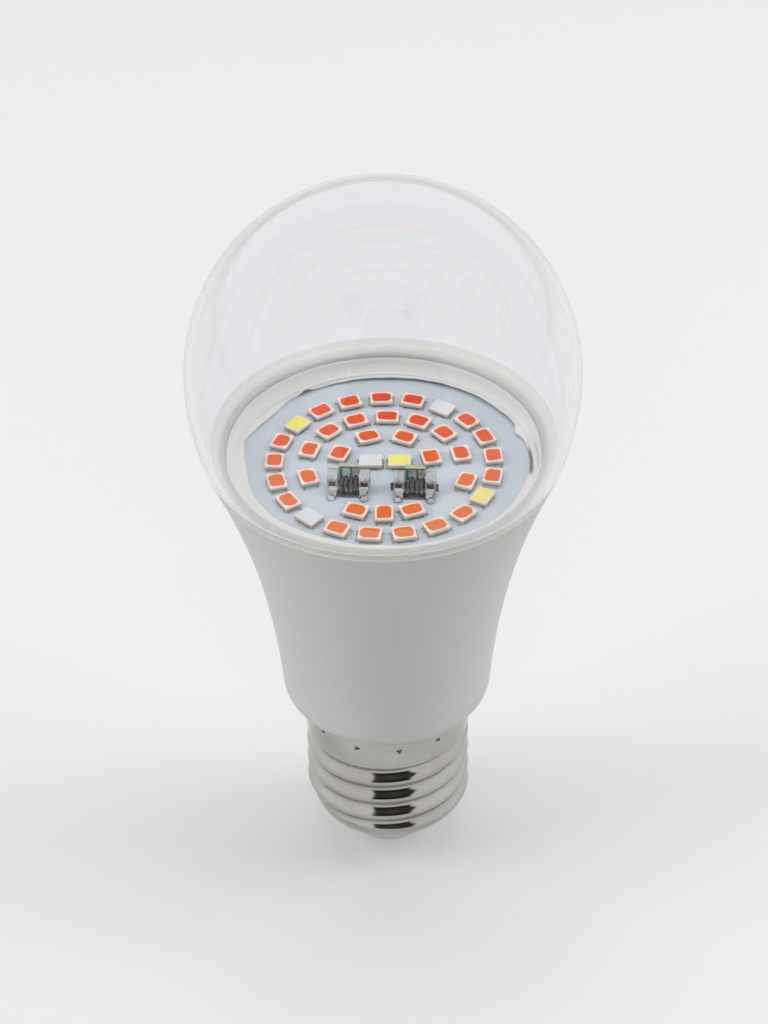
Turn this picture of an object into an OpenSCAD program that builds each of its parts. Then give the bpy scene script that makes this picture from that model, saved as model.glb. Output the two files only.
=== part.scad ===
// Grow light bulb: a clear ball over a board of small lights, a white plastic housing over
// an aluminium cup, a plugged-in driver board and a crimped screw cap.
// Origin at the tip of the centre contact, +Z along the bulb's axis towards the ball.

/* [Dome] */
// Outer diameter of the clear ball
dome_d = 60; // [57:0.5:63]
// Radius of the arc that carries the ball's side in to the seam
dome_side_r = 40; // [38:0.5:44]
// Height of the ball's centre above the seam
dome_rise = 14.5; // [13.5:0.1:15.5]
// Wall of the ball
dome_wall = 1.2; // [0.8:0.1:1.6]
// Width of the thick rim that closes the ball on the housing
rim_w = 2.7; // [2.5:0.1:3]
// Height of the thick rim
rim_t = 1; // [0.8:0.1:1.4]
// Thickness of the tongue under the rim
tongue_t = 1; // [0.8:0.1:1.1]
// Depth of the tongue in the housing's groove
tongue_h = 1.8; // [1.4:0.1:2.1]

/* [Housing] */
// Height of the white housing from its shoulder to the seam
housing_h = 47; // [45:0.5:51]
// Step from the thread's crest out to the housing just above its rounded foot
waist_step = 3.45; // [3:0.05:4.2]
// Slope of the housing's side at the seam, in degrees
flare_angle = 24; // [22:0.5:26]
// Slope of the housing's side at its waist, in degrees
waist_lean = 4.75; // [3:0.25:6]
// Radius of the rounded foot
foot_round = 3.2; // [3:0.1:3.6]
// Wall of the housing
housing_wall = 1.3; // [1.1:0.1:1.5]
// Wall of the spigot inside the screw cap
spigot_wall = 1.6; // [1.4:0.1:1.9]
// Depth of the pocket for each crimp of the cap
crimp_pocket = 0.6; // [0.5:0.1:0.8]

/* [Screw cap] */
// Height of the cap, from the contact's tip to its top edge
cap_h = 28.4; // [27.5:0.1:29]
// Diameter over the crests of the thread
thread_d = 26.1; // [26:0.05:26.4]
// Depth of the thread
thread_depth = 0.8; // [0.75:0.05:0.9]
// Rise of the thread in one turn
thread_pitch = 3.63; // [3.5:0.01:3.75]
// Sheet thickness of the cap
cap_wall = 0.3; // [0.2:0.05:0.35]
// Height of the cap's lower lip above the contact's tip
lip_z = 4.6; // [4.4:0.1:5]
// Outer radius of the lower lip
lip_r = 9.8; // [9.4:0.1:10.2]
// Depth of a crimp
crimp_depth = 0.45; // [0.3:0.05:0.5]
// Diameter of the centre contact
contact_d = 11.2; // [9.5:0.1:12]
// Thickness of the centre contact
contact_t = 1.4; // [1:0.1:1.8]
// Diameter of the contact's stem
stem_d = 3.2; // [2.6:0.1:3.6]

/* [Heat sink cup] */
// Wall of the aluminium cup
cup_wall = 0.8; // [0.6:0.1:0.9]
// Height of the cup's lip above the light board
cup_lip = 0.9; // [0.6:0.1:1]
// Width of the ledge that carries the light board
ledge_w = 1.2; // [1:0.1:1.6]
// Radius of the hole in the cup's floor
cup_hole_r = 10.8; // [10.6:0.1:11.4]

/* [Light board] */
// Wall that the housing keeps beside the cup's lip
lip_wall = 0.7; // [0.6:0.05:0.9]
// Thickness of the light board
board_t = 1.2; // [1:0.1:1.6]
// Depth of the board's face below the seam
board_drop = 3.3; // [3.2:0.1:3.8]
// Shift of the sealing bead's inner edge towards the back
bead_shift = 1.6; // [0:0.1:1.8]
// Space between the outermost lights and the bead
bead_clear = 0.6; // [0.4:0.1:0.8]

/* [Lights] */
// Length of a light's frame
led_l = 3.5; // [3.3:0.1:3.6]
// Width of a light's frame
led_w = 2.8; // [2.6:0.1:2.9]
// Height of a light's frame
led_h = 0.7; // [0.6:0.05:0.8]
// Width of the frame's edge around its window
led_edge = 0.32; // [0.25:0.01:0.4]
// Depth of the window
window_depth = 0.4; // [0.3:0.05:0.45]
// Height of a light's solder pad
pad_t = 0.15; // [0.1:0.05:0.2]
// Number of lights in the outer ring
ring_count = 21; // [20:1:22]
// Place of the outer ring of lights between the board's middle (0) and its edge (1)
ring_place = 0.732; // [0.724:0.004:0.74]
// Place of the middle row of lights
middle_place = 0.521; // [0.513:0.004:0.529]
// Place of the inner arc of lights
inner_place = 0.319; // [0.311:0.004:0.323]

/* [Driver board] */
// Thickness of the driver board
driver_t = 1; // [0.8:0.1:1.2]
// Distance of the board's front face from the bulb's axis
driver_y = 5.35; // [5.2:0.05:5.5]
// Turn of the driver board about the bulb's axis, in degrees
driver_turn = -4; // [-5:0.5:0]
// Distance between the centres of the two tabs
tab_span = 10.1; // [9.6:0.1:10.4]
// Width of a tab
tab_w = 3; // [2.8:0.1:3.2]
// Height of a tab above the light board's face
tab_rise = 4; // [3.6:0.1:4.2]
// Space round a tab in its slot
slot_clear = 0.25; // [0.15:0.05:0.35]
// Space between the board's edges and the wall beside them
edge_clear = 1; // [0.8:0.1:1.4]
// Height of the driver board's wide part above the housing's shoulder
foot_rise = 9.5; // [9:0.5:11]
// Width of a contact pad on a tab
contact_pad_w = 1.15; // [1:0.05:1.2]

/* [Board clips] */
// Width of a clip over its two side arches
clip_w = 6.5; // [6.4:0.1:6.8]
// Width of one side arch
arch_w = 1.45; // [1.3:0.05:1.6]
// Height of the side arches
arch_h = 3.8; // [3.4:0.1:4]
// Sheet thickness of the clips
clip_t = 0.25; // [0.2:0.01:0.3]

/* [Driver components] */
// Diameter of the input capacitor
input_cap_d = 8; // [6.3:0.1:8.5]
// Length of the input capacitor
input_cap_l = 12; // [9:0.5:13]
// Diameter of the output capacitor
output_cap_d = 6.3; // [5:0.1:8]
// Length of the output capacitor
output_cap_l = 11; // [9:0.5:12]
// Diameter of the choke
choke_d = 9; // [7:0.5:10]
// Height of the choke
choke_h = 8; // [7:0.5:10]
// Width of the suppression capacitor
film_cap_w = 10; // [8:0.5:11]
// Depth of the suppression capacitor
film_cap_d = 5; // [4:0.5:6]
// Height of the suppression capacitor
film_cap_h = 8; // [6:0.5:9]
// Diameter of the fuse resistor
fuse_d = 3.2; // [2.5:0.1:3.4]
// Length of the fuse resistor
fuse_l = 8.5; // [7:0.5:9]
// Length of the driver chip
chip_l = 4.9; // [4.4:0.1:5.2]
// Width of the driver chip
chip_w = 3.9; // [3.6:0.1:4.2]
// Height of the driver chip
chip_h = 1.5; // [1.2:0.1:1.8]
// Length of the diode
diode_l = 4.3; // [4:0.1:4.6]
// Width of the diode
diode_w = 2.7; // [2.4:0.1:3]
// Height of the diode
diode_h = 2.1; // [1.8:0.1:2.3]
// Length of a chip resistor or chip capacitor
small_l = 3.2; // [2.9:0.1:3.3]
// Width of a chip resistor or chip capacitor
small_w = 1.6; // [1.2:0.1:1.8]
// Distance between the leads of a can, over its diameter class
lead_pitch = 2.5; // [2:0.1:3]
// Diameter of the insulated wires
wire_d = 1.3; // [1:0.1:1.5]
// Diameter of the bare end of the neutral wire
bare_d = 0.7; // [0.5:0.05:0.75]

/* [Hidden] */

// Roundness of everything turned
$fn = 96;
// Clearance between pieces that fit round each other
fit_gap = 0.1;
// Clearance between flat faces that rest on each other
seat_gap = 0.04;
// How far a cutting shape runs past what it cuts
past = 1;

// Heights up the axis
shoulder_z = cap_h + fit_gap;
seam_z = shoulder_z + housing_h;
dome_z = seam_z + dome_rise;
board_z = seam_z - board_drop;
board_under_z = board_z - board_t;
groove_z = seam_z - tongue_h - fit_gap;
cup_top_z = board_z + cup_lip;

// Radii of the dome, the housing and what they close on
dome_r = dome_d / 2;
crest_r = thread_d / 2;
waist_r = crest_r + waist_step;
side_shift = dome_side_r - dome_r;
seam_r = sqrt(pow(dome_side_r, 2) - pow(dome_rise, 2)) - side_shift;
rim_in_r = seam_r - rim_w;
tongue_out_r = rim_in_r + tongue_t;
cup_out_r = seam_r - (board_drop + board_t + cup_wall) * tan(flare_angle) - lip_wall - fit_gap;
cup_in_r = cup_out_r - cup_wall;
board_d = 2 * (cup_in_r - fit_gap);

// The housing's side is one Bezier curve, and its foot is an arc that carries on from it
curve_steps = 24;
foot_steps = 8;
flare_pull = 0.345 * (housing_h - foot_round);
waist_pull = 0.37 * (housing_h - foot_round);
waist_z = shoulder_z + foot_round * (1 - sin(waist_lean));
side_ends = [[seam_r, seam_z], [waist_r, waist_z]];
side_pulls = [side_ends[0] - flare_pull * [sin(flare_angle), cos(flare_angle)],
    side_ends[1] + waist_pull * [sin(waist_lean), cos(waist_lean)]];
foot_centre = side_ends[1] - foot_round * [cos(waist_lean), -sin(waist_lean)];
function side_point(t) = pow(1 - t, 3) * side_ends[0] + 3 * pow(1 - t, 2) * t * side_pulls[0]
    + 3 * (1 - t) * t * t * side_pulls[1] + pow(t, 3) * side_ends[1];
function side_run(t) = 3 * pow(1 - t, 2) * (side_pulls[0] - side_ends[0])
    + 6 * (1 - t) * t * (side_pulls[1] - side_pulls[0]) + 3 * t * t * (side_ends[1] - side_pulls[1]);
function side_out(t) = [-side_run(t)[1], side_run(t)[0]] / norm(side_run(t));
function inset_side(inset) = [for (i = [0:curve_steps])
    let (t = i / curve_steps) side_point(t) - inset * side_out(t)];
function inset_foot(inset) = [for (i = [1:foot_steps])
    let (a = -waist_lean - (90 - waist_lean) * i / foot_steps)
    foot_centre + (foot_round - inset) * [cos(a), sin(a)]];

// The screw cap's shell
root_r = crest_r - thread_depth;
thread_low = lip_z + 4.2;
thread_high = cap_h - 7.1;
thread_fade = 1.3;
band_z = thread_high + thread_fade;
// Direction in which a root of the thread lies at root_z, straight in front
front = -90;
root_z = cap_h - 7.7;
crimp_count = 12;
crimp_z = cap_h - 2.8;
crimp_half = 0.55;
crimp_start = front + 8;
// Where the shell's corners lie within one crimp's share of the circle
crimp_share = [-2.5, 0, 2.5, 11, 19];
rings_per_turn = 8;
band_in_r = crest_r - cap_wall;
collar_r = band_in_r - fit_gap;
spigot_r = root_r - cap_wall - fit_gap;
bore_r = spigot_r - spigot_wall;

// The insulator between the shell and the contact
insulator_top = lip_z + 3.6;
spigot_foot = insulator_top + seat_gap;
stem_top = insulator_top + 1;
insulator_r = lip_r + 1.4;

// The driver board and what carries it
driver_back = driver_y - driver_t;
driver_top = board_under_z - 3.5;
driver_foot = shoulder_z + foot_rise;
tail_foot = spigot_foot + 6;
tab_top = board_z + tab_rise;
tab_in_slot = tab_w + 2 * slot_clear;
housing_floor = shoulder_z + housing_wall;
cup_inset = housing_wall + fit_gap;
// Narrowest place beside the wide part of the board: the cup at the board's foot
foot_wall_r = waist_r - cup_inset - cup_wall;
driver_half_w = sqrt(pow(foot_wall_r, 2) - pow(driver_y + 1, 2)) - edge_clear;
tail_half_w = sqrt(pow(bore_r, 2) - pow(driver_y + 0.6, 2)) - edge_clear / 2;
rail_wall = 0.9;
rail_reach = 1.5;
rail_top = shoulder_z - 2;

// Rows of the light board: angle, step outwards from the row, and turn of the light
ring_r = ring_place * board_d / 2;
middle_r = middle_place * board_d / 2;
inner_r = inner_place * board_d / 2;
middle_row = [[-165, 0, 90], [162, 0, 90], [135, 0, 90], [111, 0, 90], [87, 0, 90], [63, 0, 90],
    [39, 0, 90], [11, 0, 90], [-20, 0.43 * led_w, 90], [-70, 0, 90], [-90.5, 0, 0], [-111, 0, 90]];
inner_angles = [12, 64, 109, 158];
ring_start = 91;
blue_places = [2, 13];
white_places = [7, 18];
centre_blue = [-0.6 * led_l, 0.25 * led_w, 0];
centre_white = [0.686 * led_l, 0.214 * led_w, 0];
function ring_spot(k) = let (a = ring_start - k * 360 / ring_count)
    [ring_r * cos(a), ring_r * sin(a), a + 90];
function has(list, k) = len(search(k, list)) > 0;
blue_spots = concat([for (k = blue_places) ring_spot(k)], [centre_blue]);
white_spots = concat([for (k = white_places) ring_spot(k)], [centre_white]);
red_spots = concat(
    [for (k = [0:ring_count - 1]) if (!has(blue_places, k) && !has(white_places, k)) ring_spot(k)],
    [for (m = middle_row) let (r = middle_r + m[1]) [r * cos(m[0]), r * sin(m[0]), m[0] + m[2]]],
    [for (a = inner_angles) [inner_r * cos(a), inner_r * sin(a), a + 90]]);
window_r = 0.55;
lead_half = led_l / 2 + 0.2;
lead_l = 0.8;
frame_z = board_z + pad_t + 2 * seat_gap;
ring_reach = norm([ring_r + led_w / 2, led_l / 2]);
bead_lip_r = ring_reach + bead_clear + bead_shift;

// Clip measures that follow from the sheet and the tab
arch_x = (clip_w - arch_w) / 2;
finger_w = contact_pad_w - 0.1;
finger_x = tab_w / 4 + 0.02;
contact_t_pad = 0.06;

// Shapes that repeat

// A flat rounded rectangle of size l by w
module round_rect(l, w, r) {
    square([l - 2 * r, w], center = true);
    square([l, w - 2 * r], center = true);
    for (x = [-1, 1], y = [-1, 1]) translate([x * (l / 2 - r), y * (w / 2 - r)]) circle(r, $fn = 32);
}

// Area between the axis and the housing's outline, taken in by a wall
module outline_area(inset) {
    polygon(concat([[0, seam_z - inset * sin(flare_angle)]], inset_side(inset), inset_foot(inset),
        [[0, shoulder_z + inset]]));
}

// A strip of sheet bent along a line of points, as an outline of even thickness
function bend_normal(p, i) = let (a = p[max(i - 1, 0)], b = p[min(i + 1, len(p) - 1)], d = b - a)
    [-d[1], d[0]] / norm(d);
module bent_strip(p, t) {
    polygon(concat([for (i = [0:len(p) - 1]) p[i] + bend_normal(p, i) * t / 2],
        [for (i = [len(p) - 1:-1:0]) p[i] - bend_normal(p, i) * t / 2]));
}

// A wire swept along a route of points: rings square to the route, with rounded bends between
function bend_point(p, i, t) = let (a = p[max(i - 1, 0)], b = p[i], c = p[i + 1],
    d = p[min(i + 2, len(p) - 1)])
    0.5 * (2 * b + (c - a) * t + (2 * a - 5 * b + 4 * c - d) * t * t + (3 * b - a - 3 * c + d) * pow(t, 3));
function smooth_route(p, n) = concat([for (i = [0:len(p) - 2], s = [0:n - 1]) bend_point(p, i, s / n)],
    [p[len(p) - 1]]);
module wire(route, d, sides = 8) {
    p = smooth_route(route, 3);
    n = len(p);
    rings = [for (i = [0:n - 1]) let (run = p[min(i + 1, n - 1)] - p[max(i - 1, 0)],
        u = cross(run, [0.2, 1, 0.1]), v = cross(run, u))
        for (k = [0:sides - 1]) let (a = 360 * k / sides)
        p[i] + d / 2 * (cos(a) * u / norm(u) + sin(a) * v / norm(v))];
    walls = [for (i = [0:n - 2], k = [0:sides - 1]) let (m = (k + 1) % sides)
        [i * sides + k, i * sides + m, (i + 1) * sides + m, (i + 1) * sides + k]];
    ends = [[for (k = [sides - 1:-1:0]) k], [for (k = [0:sides - 1]) (n - 1) * sides + k]];
    polyhedron(rings, concat(walls, ends));
}

// Puts a piece on the driver board, whose front face is the plane y = -driver_y
module on_driver() {
    translate([0, -driver_y, 0]) rotate(driver_turn) translate([0, driver_y, 0]) children();
}

// Puts a piece at the foot of each tab, with the tab's front face at y = 0 and the board's at z = 0
module at_tab(side) {
    on_driver() translate([side * tab_span / 2, -driver_y, board_z]) children();
}

module at_spots(spots) {
    for (s = spots) translate([s[0], s[1], 0]) rotate(s[2]) children();
}

// Casing

module diffuser_dome() {
    color([0.93, 0.95, 0.96, 0.3]) rotate_extrude() {
        intersection() {
            translate([0, dome_z]) difference() {
                circle(dome_r);
                circle(dome_r - dome_wall);
            }
            translate([0, dome_z]) square([dome_r + past, dome_r + past]);
        }
        intersection() {
            translate([-side_shift, dome_z]) difference() {
                circle(dome_side_r);
                circle(dome_side_r - dome_wall);
            }
            translate([0, seam_z + fit_gap]) square([dome_r + past, dome_rise - fit_gap]);
        }
        intersection() {
            translate([-side_shift, dome_z]) circle(dome_side_r);
            translate([rim_in_r, seam_z + fit_gap]) square([rim_w + past, rim_t]);
        }
        translate([rim_in_r, seam_z - tongue_h]) square([tongue_t, tongue_h + rim_t / 2]);
    }
}

module outer_housing() {
    color("white") difference() {
        union() {
            rotate_extrude() difference() {
                union() {
                    outline_area(0);
                    translate([0, band_z]) square([collar_r, shoulder_z + past - band_z]);
                    translate([0, spigot_foot]) square([spigot_r, shoulder_z + past - spigot_foot]);
                }
                intersection() {
                    outline_area(housing_wall);
                    square([seam_r, groove_z]);
                }
                translate([0, board_under_z - cup_wall - fit_gap])
                    square([cup_out_r + fit_gap, board_drop + past]);
                translate([0, groove_z]) square([tongue_out_r + fit_gap, tongue_h + past]);
                translate([0, spigot_foot - past]) square([bore_r, housing_floor + 2 * past - spigot_foot]);
            }
            spigot_rails();
        }
        crimp_pockets();
        neutral_notch();
    }
}

// Two grooved rails in the spigot that hold the driver board's tail
module spigot_rails() {
    slot_l = tail_half_w + fit_gap;
    rail_x = tail_half_w - rail_reach;
    intersection() {
        on_driver() for (side = [-1, 1]) difference() {
            translate([side > 0 ? rail_x : -rail_x - bore_r, -driver_y - rail_wall, spigot_foot + 2])
                cube([bore_r, driver_t + 2 * rail_wall, rail_top - spigot_foot - 2]);
            translate([-slot_l, -driver_y - fit_gap, 0])
                cube([2 * slot_l, driver_t + 2 * fit_gap, rail_top + past]);
        }
        cylinder(r = bore_r + spigot_wall / 2, h = rail_top + past);
    }
}

module crimp_pockets() {
    for (i = [0:crimp_count - 1]) rotate(crimp_start + i * 360 / crimp_count)
        translate([collar_r - crimp_pocket, 0, crimp_z]) rotate([0, 90, 0])
            cylinder(r = 2 * crimp_half, h = crimp_pocket + past, $fn = 24);
}

// The way of the bare wire under the spigot's foot and up its side
notch_w = bare_d + 0.6;
notch_rise = 1.6;
notch_top = spigot_foot + 6;
module neutral_notch() {
    translate([0, -notch_w / 2, 0]) {
        translate([bore_r - past, 0, spigot_foot - past])
            cube([spigot_wall + 2 * past, notch_w, notch_rise + past]);
        translate([spigot_r - bare_d - fit_gap, 0, spigot_foot - past])
            cube([bare_d + fit_gap + past, notch_w, notch_top - spigot_foot + past]);
    }
}

// A pressed cup: a wall that follows the housing, a floor with a hole, a ledge and a lip
module heat_sink_cup() {
    ledge_z = board_under_z - cup_wall;
    color([0.78, 0.79, 0.8]) {
        rotate_extrude() difference() {
            intersection() {
                outline_area(cup_inset);
                square([seam_r, ledge_z + cup_wall / 2]);
            }
            outline_area(cup_inset + cup_wall);
            square([cup_hole_r, seam_z]);
        }
        translate([0, 0, ledge_z]) difference() {
            cylinder(r = cup_out_r, h = cup_top_z - ledge_z);
            translate([0, 0, -past]) cylinder(r = cup_in_r - ledge_w, h = cup_top_z);
            translate([0, 0, cup_wall - seat_gap]) cylinder(r = cup_in_r, h = cup_top_z);
        }
    }
}

module light_board() {
    color([0.85, 0.88, 0.9]) difference() {
        translate([0, 0, board_under_z]) cylinder(d = board_d, h = board_t);
        for (side = [-1, 1]) at_tab(side)
            translate([-tab_in_slot / 2, -slot_clear, -board_t - past])
                cube([tab_in_slot, driver_t + 2 * slot_clear, board_t + 2 * past]);
    }
}

// Sealant run round the board's edge, thicker in front than behind
module sealing_bead() {
    bead_foot = board_z + seat_gap;
    over_cup = cup_top_z + seat_gap;
    color([0.9, 0.91, 0.9]) difference() {
        union() {
            translate([0, 0, bead_foot]) cylinder(r = cup_in_r - fit_gap, h = seam_z - bead_foot);
            translate([0, 0, over_cup]) cylinder(r = rim_in_r - fit_gap, h = seam_z - over_cup);
        }
        hull() {
            translate([0, bead_shift, board_z]) cylinder(r = bead_lip_r, h = seat_gap, $fn = 64);
            translate([0, 0, seam_z]) cylinder(r = rim_in_r - 3 * fit_gap, h = past, $fn = 64);
        }
    }
}

// Lights

module light_frames(spots, shade) {
    color(shade) at_spots(spots) translate([0, 0, frame_z]) difference() {
        translate([-led_l / 2, -led_w / 2, 0]) cube([led_l, led_w, led_h]);
        translate([0, 0, led_h - window_depth]) linear_extrude(past)
            round_rect(led_l - 2 * led_edge, led_w - 2 * led_edge, window_r);
    }
}

module light_gels(spots, shade) {
    color(shade) at_spots(spots) translate([0, 0, frame_z + led_h - window_depth + seat_gap])
        linear_extrude(window_depth - 2 * seat_gap)
        round_rect(led_l - 2 * (led_edge + seat_gap), led_w - 2 * (led_edge + seat_gap), window_r);
}

module light_pads(spots) {
    color("silver") at_spots(spots) for (side = [0, 1]) rotate(180 * side)
        translate([lead_half - lead_l, -led_w / 2 + led_edge, board_z + seat_gap])
            cube([lead_l, led_w - 2 * led_edge, pad_t]);
}

module red_light_frames() { light_frames(red_spots, "mistyrose"); }
module red_light_gels() { light_gels(red_spots, "orangered"); }
module red_light_pads() { light_pads(red_spots); }
module white_light_frames() { light_frames(white_spots, "ivory"); }
module white_light_gels() { light_gels(white_spots, "khaki"); }
module white_light_pads() { light_pads(white_spots); }
module blue_light_frames() { light_frames(blue_spots, "whitesmoke"); }
module blue_light_gels() { light_gels(blue_spots, "gainsboro"); }
module blue_light_pads() { light_pads(blue_spots); }

// Clips that carry the current from the driver's tabs to the light board

arch_back = driver_t + slot_clear;
arch_front = -1.3;
base_front = -2.1;
foot_l = 0.7;
module board_clip() {
    arch_depth = arch_back - arch_front;
    window = [arch_w - 2 * clip_t - 0.1, arch_h * 0.3];
    color("silver") translate([0, 0, seat_gap]) {
        translate([-clip_w / 2, base_front, 0]) cube([clip_w, arch_front - base_front + clip_t, clip_t]);
        for (side = [-1, 1]) translate([side * arch_x, 0, 0]) {
            difference() {
                translate([0, arch_back, 0]) rotate([90, 0, -90]) translate([0, 0, -arch_w / 2])
                    linear_extrude(arch_w) arch_outline(arch_depth);
                translate([-window[0] / 2, arch_front - past, arch_h * 0.27])
                    cube([window[0], 2 * past, window[1]]);
            }
            translate([-arch_w / 2, base_front - foot_l, 0]) cube([arch_w, foot_l + clip_t, clip_t]);
            translate([-arch_w / 2, arch_back - clip_t, 0]) cube([arch_w, foot_l + clip_t, clip_t]);
        }
        for (side = [-1, 1]) translate([side * finger_x + finger_w / 2, 0, 0]) rotate([90, 0, -90])
            linear_extrude(finger_w) bent_strip(finger_line(), clip_t * 0.8);
    }
}

// An upside-down U of sheet, seen from the side
module arch_outline(depth) {
    r = depth * 0.3;
    difference() {
        rounded_top(depth, arch_h, r);
        translate([clip_t, -past]) rounded_top(depth - 2 * clip_t, arch_h - clip_t + past, r - clip_t);
    }
}
module rounded_top(w, h, r) {
    square([w, h - r]);
    translate([r, 0]) square([w - 2 * r, h]);
    for (x = [r, w - r]) translate([x, h - r]) circle(r, $fn = 32);
}

// The spring finger climbs from the base plate, leans on the pad and bends away again,
// as distance in front of the tab and height over the base
function finger_line() = let (touch = contact_t_pad + clip_t * 0.4 + seat_gap, rise = arch_h * 0.62)
    [[-base_front - clip_t, clip_t * 0.6], [-base_front - 0.35, 0.5], [1.3, rise * 0.55], [0.75, rise * 0.8],
     [touch, rise], [touch + 0.1, rise + 0.25], [touch + 0.45, rise + 0.6]];

module left_board_clip() { at_tab(-1) board_clip(); }
module right_board_clip() { at_tab(1) board_clip(); }

// A blob of solder beyond each foot of a clip
module clip_solder() {
    blob_r = 0.62;
    blob_ys = [base_front - foot_l - blob_r, arch_back + foot_l + blob_r];
    color("silver") for (side = [-1, 1]) at_tab(side) for (x = [-arch_x, arch_x], y = blob_ys)
        translate([x, y, seat_gap]) solder_blob(blob_r);
}
module solder_blob(r) {
    intersection() {
        translate([0, 0, r * 0.1]) sphere(r * 0.97, $fn = 24);
        translate([-r, -r, 0]) cube([2 * r, 2 * r, 2 * r]);
    }
}

// Driver

module driver_board() {
    tab_x = tab_span / 2;
    corner = 2;
    color("darkgreen") on_driver() translate([0, -driver_back, 0]) rotate([90, 0, 0])
        linear_extrude(driver_t) {
            polygon([[-driver_half_w, driver_foot + corner], [-driver_half_w + corner, driver_foot],
                [driver_half_w - corner, driver_foot], [driver_half_w, driver_foot + corner],
                [driver_half_w, driver_top - corner], [driver_half_w - corner, driver_top],
                [-driver_half_w + corner, driver_top], [-driver_half_w, driver_top - corner]]);
            translate([-tail_half_w, tail_foot]) square([2 * tail_half_w, driver_foot + past - tail_foot]);
            for (side = [-1, 1]) translate([side * tab_x - tab_w / 2, driver_top - past])
                square([tab_w, tab_top - driver_top + past]);
        }
}

// Tinned pads on the front of the tabs, under the fingers
module tab_contacts() {
    color("silver") for (tab = [-1, 1]) at_tab(tab) for (side = [-1, 1])
        translate([side * tab_w / 4 - contact_pad_w / 2, -contact_t_pad - seat_gap / 2, -board_t])
            cube([contact_pad_w, contact_t_pad, tab_rise + board_t - 0.2]);
}

// Places on the driver board: x along the board and height, with z = 0 on its face
module on_front(x, z) {
    on_driver() translate([x, -driver_y - seat_gap, z]) rotate([90, 0, 0]) children();
}
module on_back(x, z) {
    on_driver() translate([x, -driver_back + seat_gap, z]) rotate([-90, 0, 0]) children();
}

// Heights of the two groups of parts: the upper ones hang from the light board,
// the lower ones stand in the spigot
function upper(d) = driver_top - d;
function lower(d) = shoulder_z + d;

chip_body = [chip_l, chip_w, chip_h];
bridge_body = [0.96 * chip_l, 1.03 * chip_w, chip_h];
diode_body = [diode_l, diode_w, diode_h];
chip_place = [0, upper(3.33 * chip_w)];
bridge_place = [0, lower(1.67 * chip_w)];
diode_place = [-1.98 * diode_l, upper(2.6 * diode_w)];
lead_rise = 0.2;
module moulded_body(size) {
    translate([-size[0] / 2, -size[1] / 2, lead_rise / 2]) cube([size[0], size[1], size[2] - lead_rise / 2]);
}
module bridge_rectifier() {
    color([0.16, 0.16, 0.17]) on_front(bridge_place[0], bridge_place[1]) moulded_body(bridge_body);
}
module driver_chip() {
    color([0.16, 0.16, 0.17]) on_front(chip_place[0], chip_place[1]) moulded_body(chip_body);
}
module flyback_diode() {
    color([0.16, 0.16, 0.17]) on_front(diode_place[0], diode_place[1]) moulded_body(diode_body);
}

// Flat leads of the moulded parts, standing out from their two long sides
module side_leads(count, spacing, half, w) {
    foot = 0.9;
    for (side = [-1, 1], i = [0:count - 1])
        translate([(i - (count - 1) / 2) * spacing - w / 2,
            side > 0 ? half + seat_gap : -half - seat_gap - foot, 0]) cube([w, foot, lead_rise]);
}
module surface_leads() {
    color("silver") {
        on_front(bridge_place[0], bridge_place[1]) side_leads(2, 2.5, bridge_body[1] / 2, 0.7);
        on_front(chip_place[0], chip_place[1]) side_leads(4, 1.27, chip_body[1] / 2, 0.45);
        on_front(diode_place[0], diode_place[1]) side_leads(1, 1, diode_body[1] / 2, 1.5);
    }
}

// Chip resistors and capacitors: where each lies, in lengths of a chip across the board and
// down from its top, and the angle it is turned by
resistor_body = [small_l, small_w, 0.6];
capacitor_body = [small_l, small_w, 1.2];
resistor_places = [[1.5, 1.25, 0], [1.5, 2, 0], [2.65, 3.75, 90], [1.7, 3.75, 90],
    [-1.55, 5.15, 90], [-0.95, 6.4, 0], [0.5, 6.4, 0], [-1.55, 9.4, 0]];
capacitor_places = [[-1.1, 1.55, 90], [0.2, 1.55, 90], [1.9, 6.4, 0]];
module chips(places, size) {
    for (p = places) on_front(p[0] * small_l, upper(p[1] * small_l)) rotate(p[2])
        translate([-size[0] / 2, -size[1] / 2, 0]) cube(size);
}
module chip_resistors() { color([0.1, 0.1, 0.11]) chips(resistor_places, resistor_body); }
module chip_capacitors() { color([0.72, 0.6, 0.45]) chips(capacitor_places, capacitor_body); }

// The wound and canned parts stand on the back of the board
top_margin = 1.5;
row_gap = 2;
can_drop = top_margin + choke_d + row_gap + input_cap_l;
column_x = driver_half_w - edge_clear - choke_d / 2;
choke_place = [-column_x, upper(top_margin + choke_d / 2)];
film_place = [column_x, upper(top_margin + 1 + film_cap_d / 2)];
can_foot = upper(can_drop);
input_place = [column_x, can_foot];
output_place = [-column_x, can_foot];
fuse_place = [lead_pitch, lower(-fuse_l - 0.5)];
sleeve_t = 0.15;
pair = lead_pitch * 0.6;
can_rim = 0.6;
module on_back_upright(place, d) {
    on_back(place[0], place[1]) translate([0, 0, d / 2 + sleeve_t]) rotate([90, 0, 0]) children();
}
module capacitor_can(d, l) {
    r = d / 2 - sleeve_t - seat_gap;
    color([0.75, 0.76, 0.78]) difference() {
        cylinder(r = r, h = l);
        translate([0, 0, l - 0.2]) for (a = [0, 90]) rotate(a)
            translate([-r * 0.8, -0.1, 0]) cube([r * 1.6, 0.2, past]);
        translate([0, 0, 1.2]) rotate_extrude() translate([r + 0.1, 0]) circle(0.45, $fn = 24);
    }
}
module capacitor_sleeve(d, l) {
    color([0.12, 0.13, 0.16]) difference() {
        cylinder(d = d, h = l - seat_gap);
        translate([0, 0, -past]) cylinder(d = d - 2 * sleeve_t, h = l + 2 * past);
    }
}
module input_capacitor() {
    on_back_upright(input_place, input_cap_d) capacitor_can(input_cap_d, input_cap_l);
}
module input_capacitor_sleeve() {
    on_back_upright(input_place, input_cap_d) capacitor_sleeve(input_cap_d, input_cap_l);
}
module output_capacitor() {
    on_back_upright(output_place, output_cap_d) capacitor_can(output_cap_d, output_cap_l);
}
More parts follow.
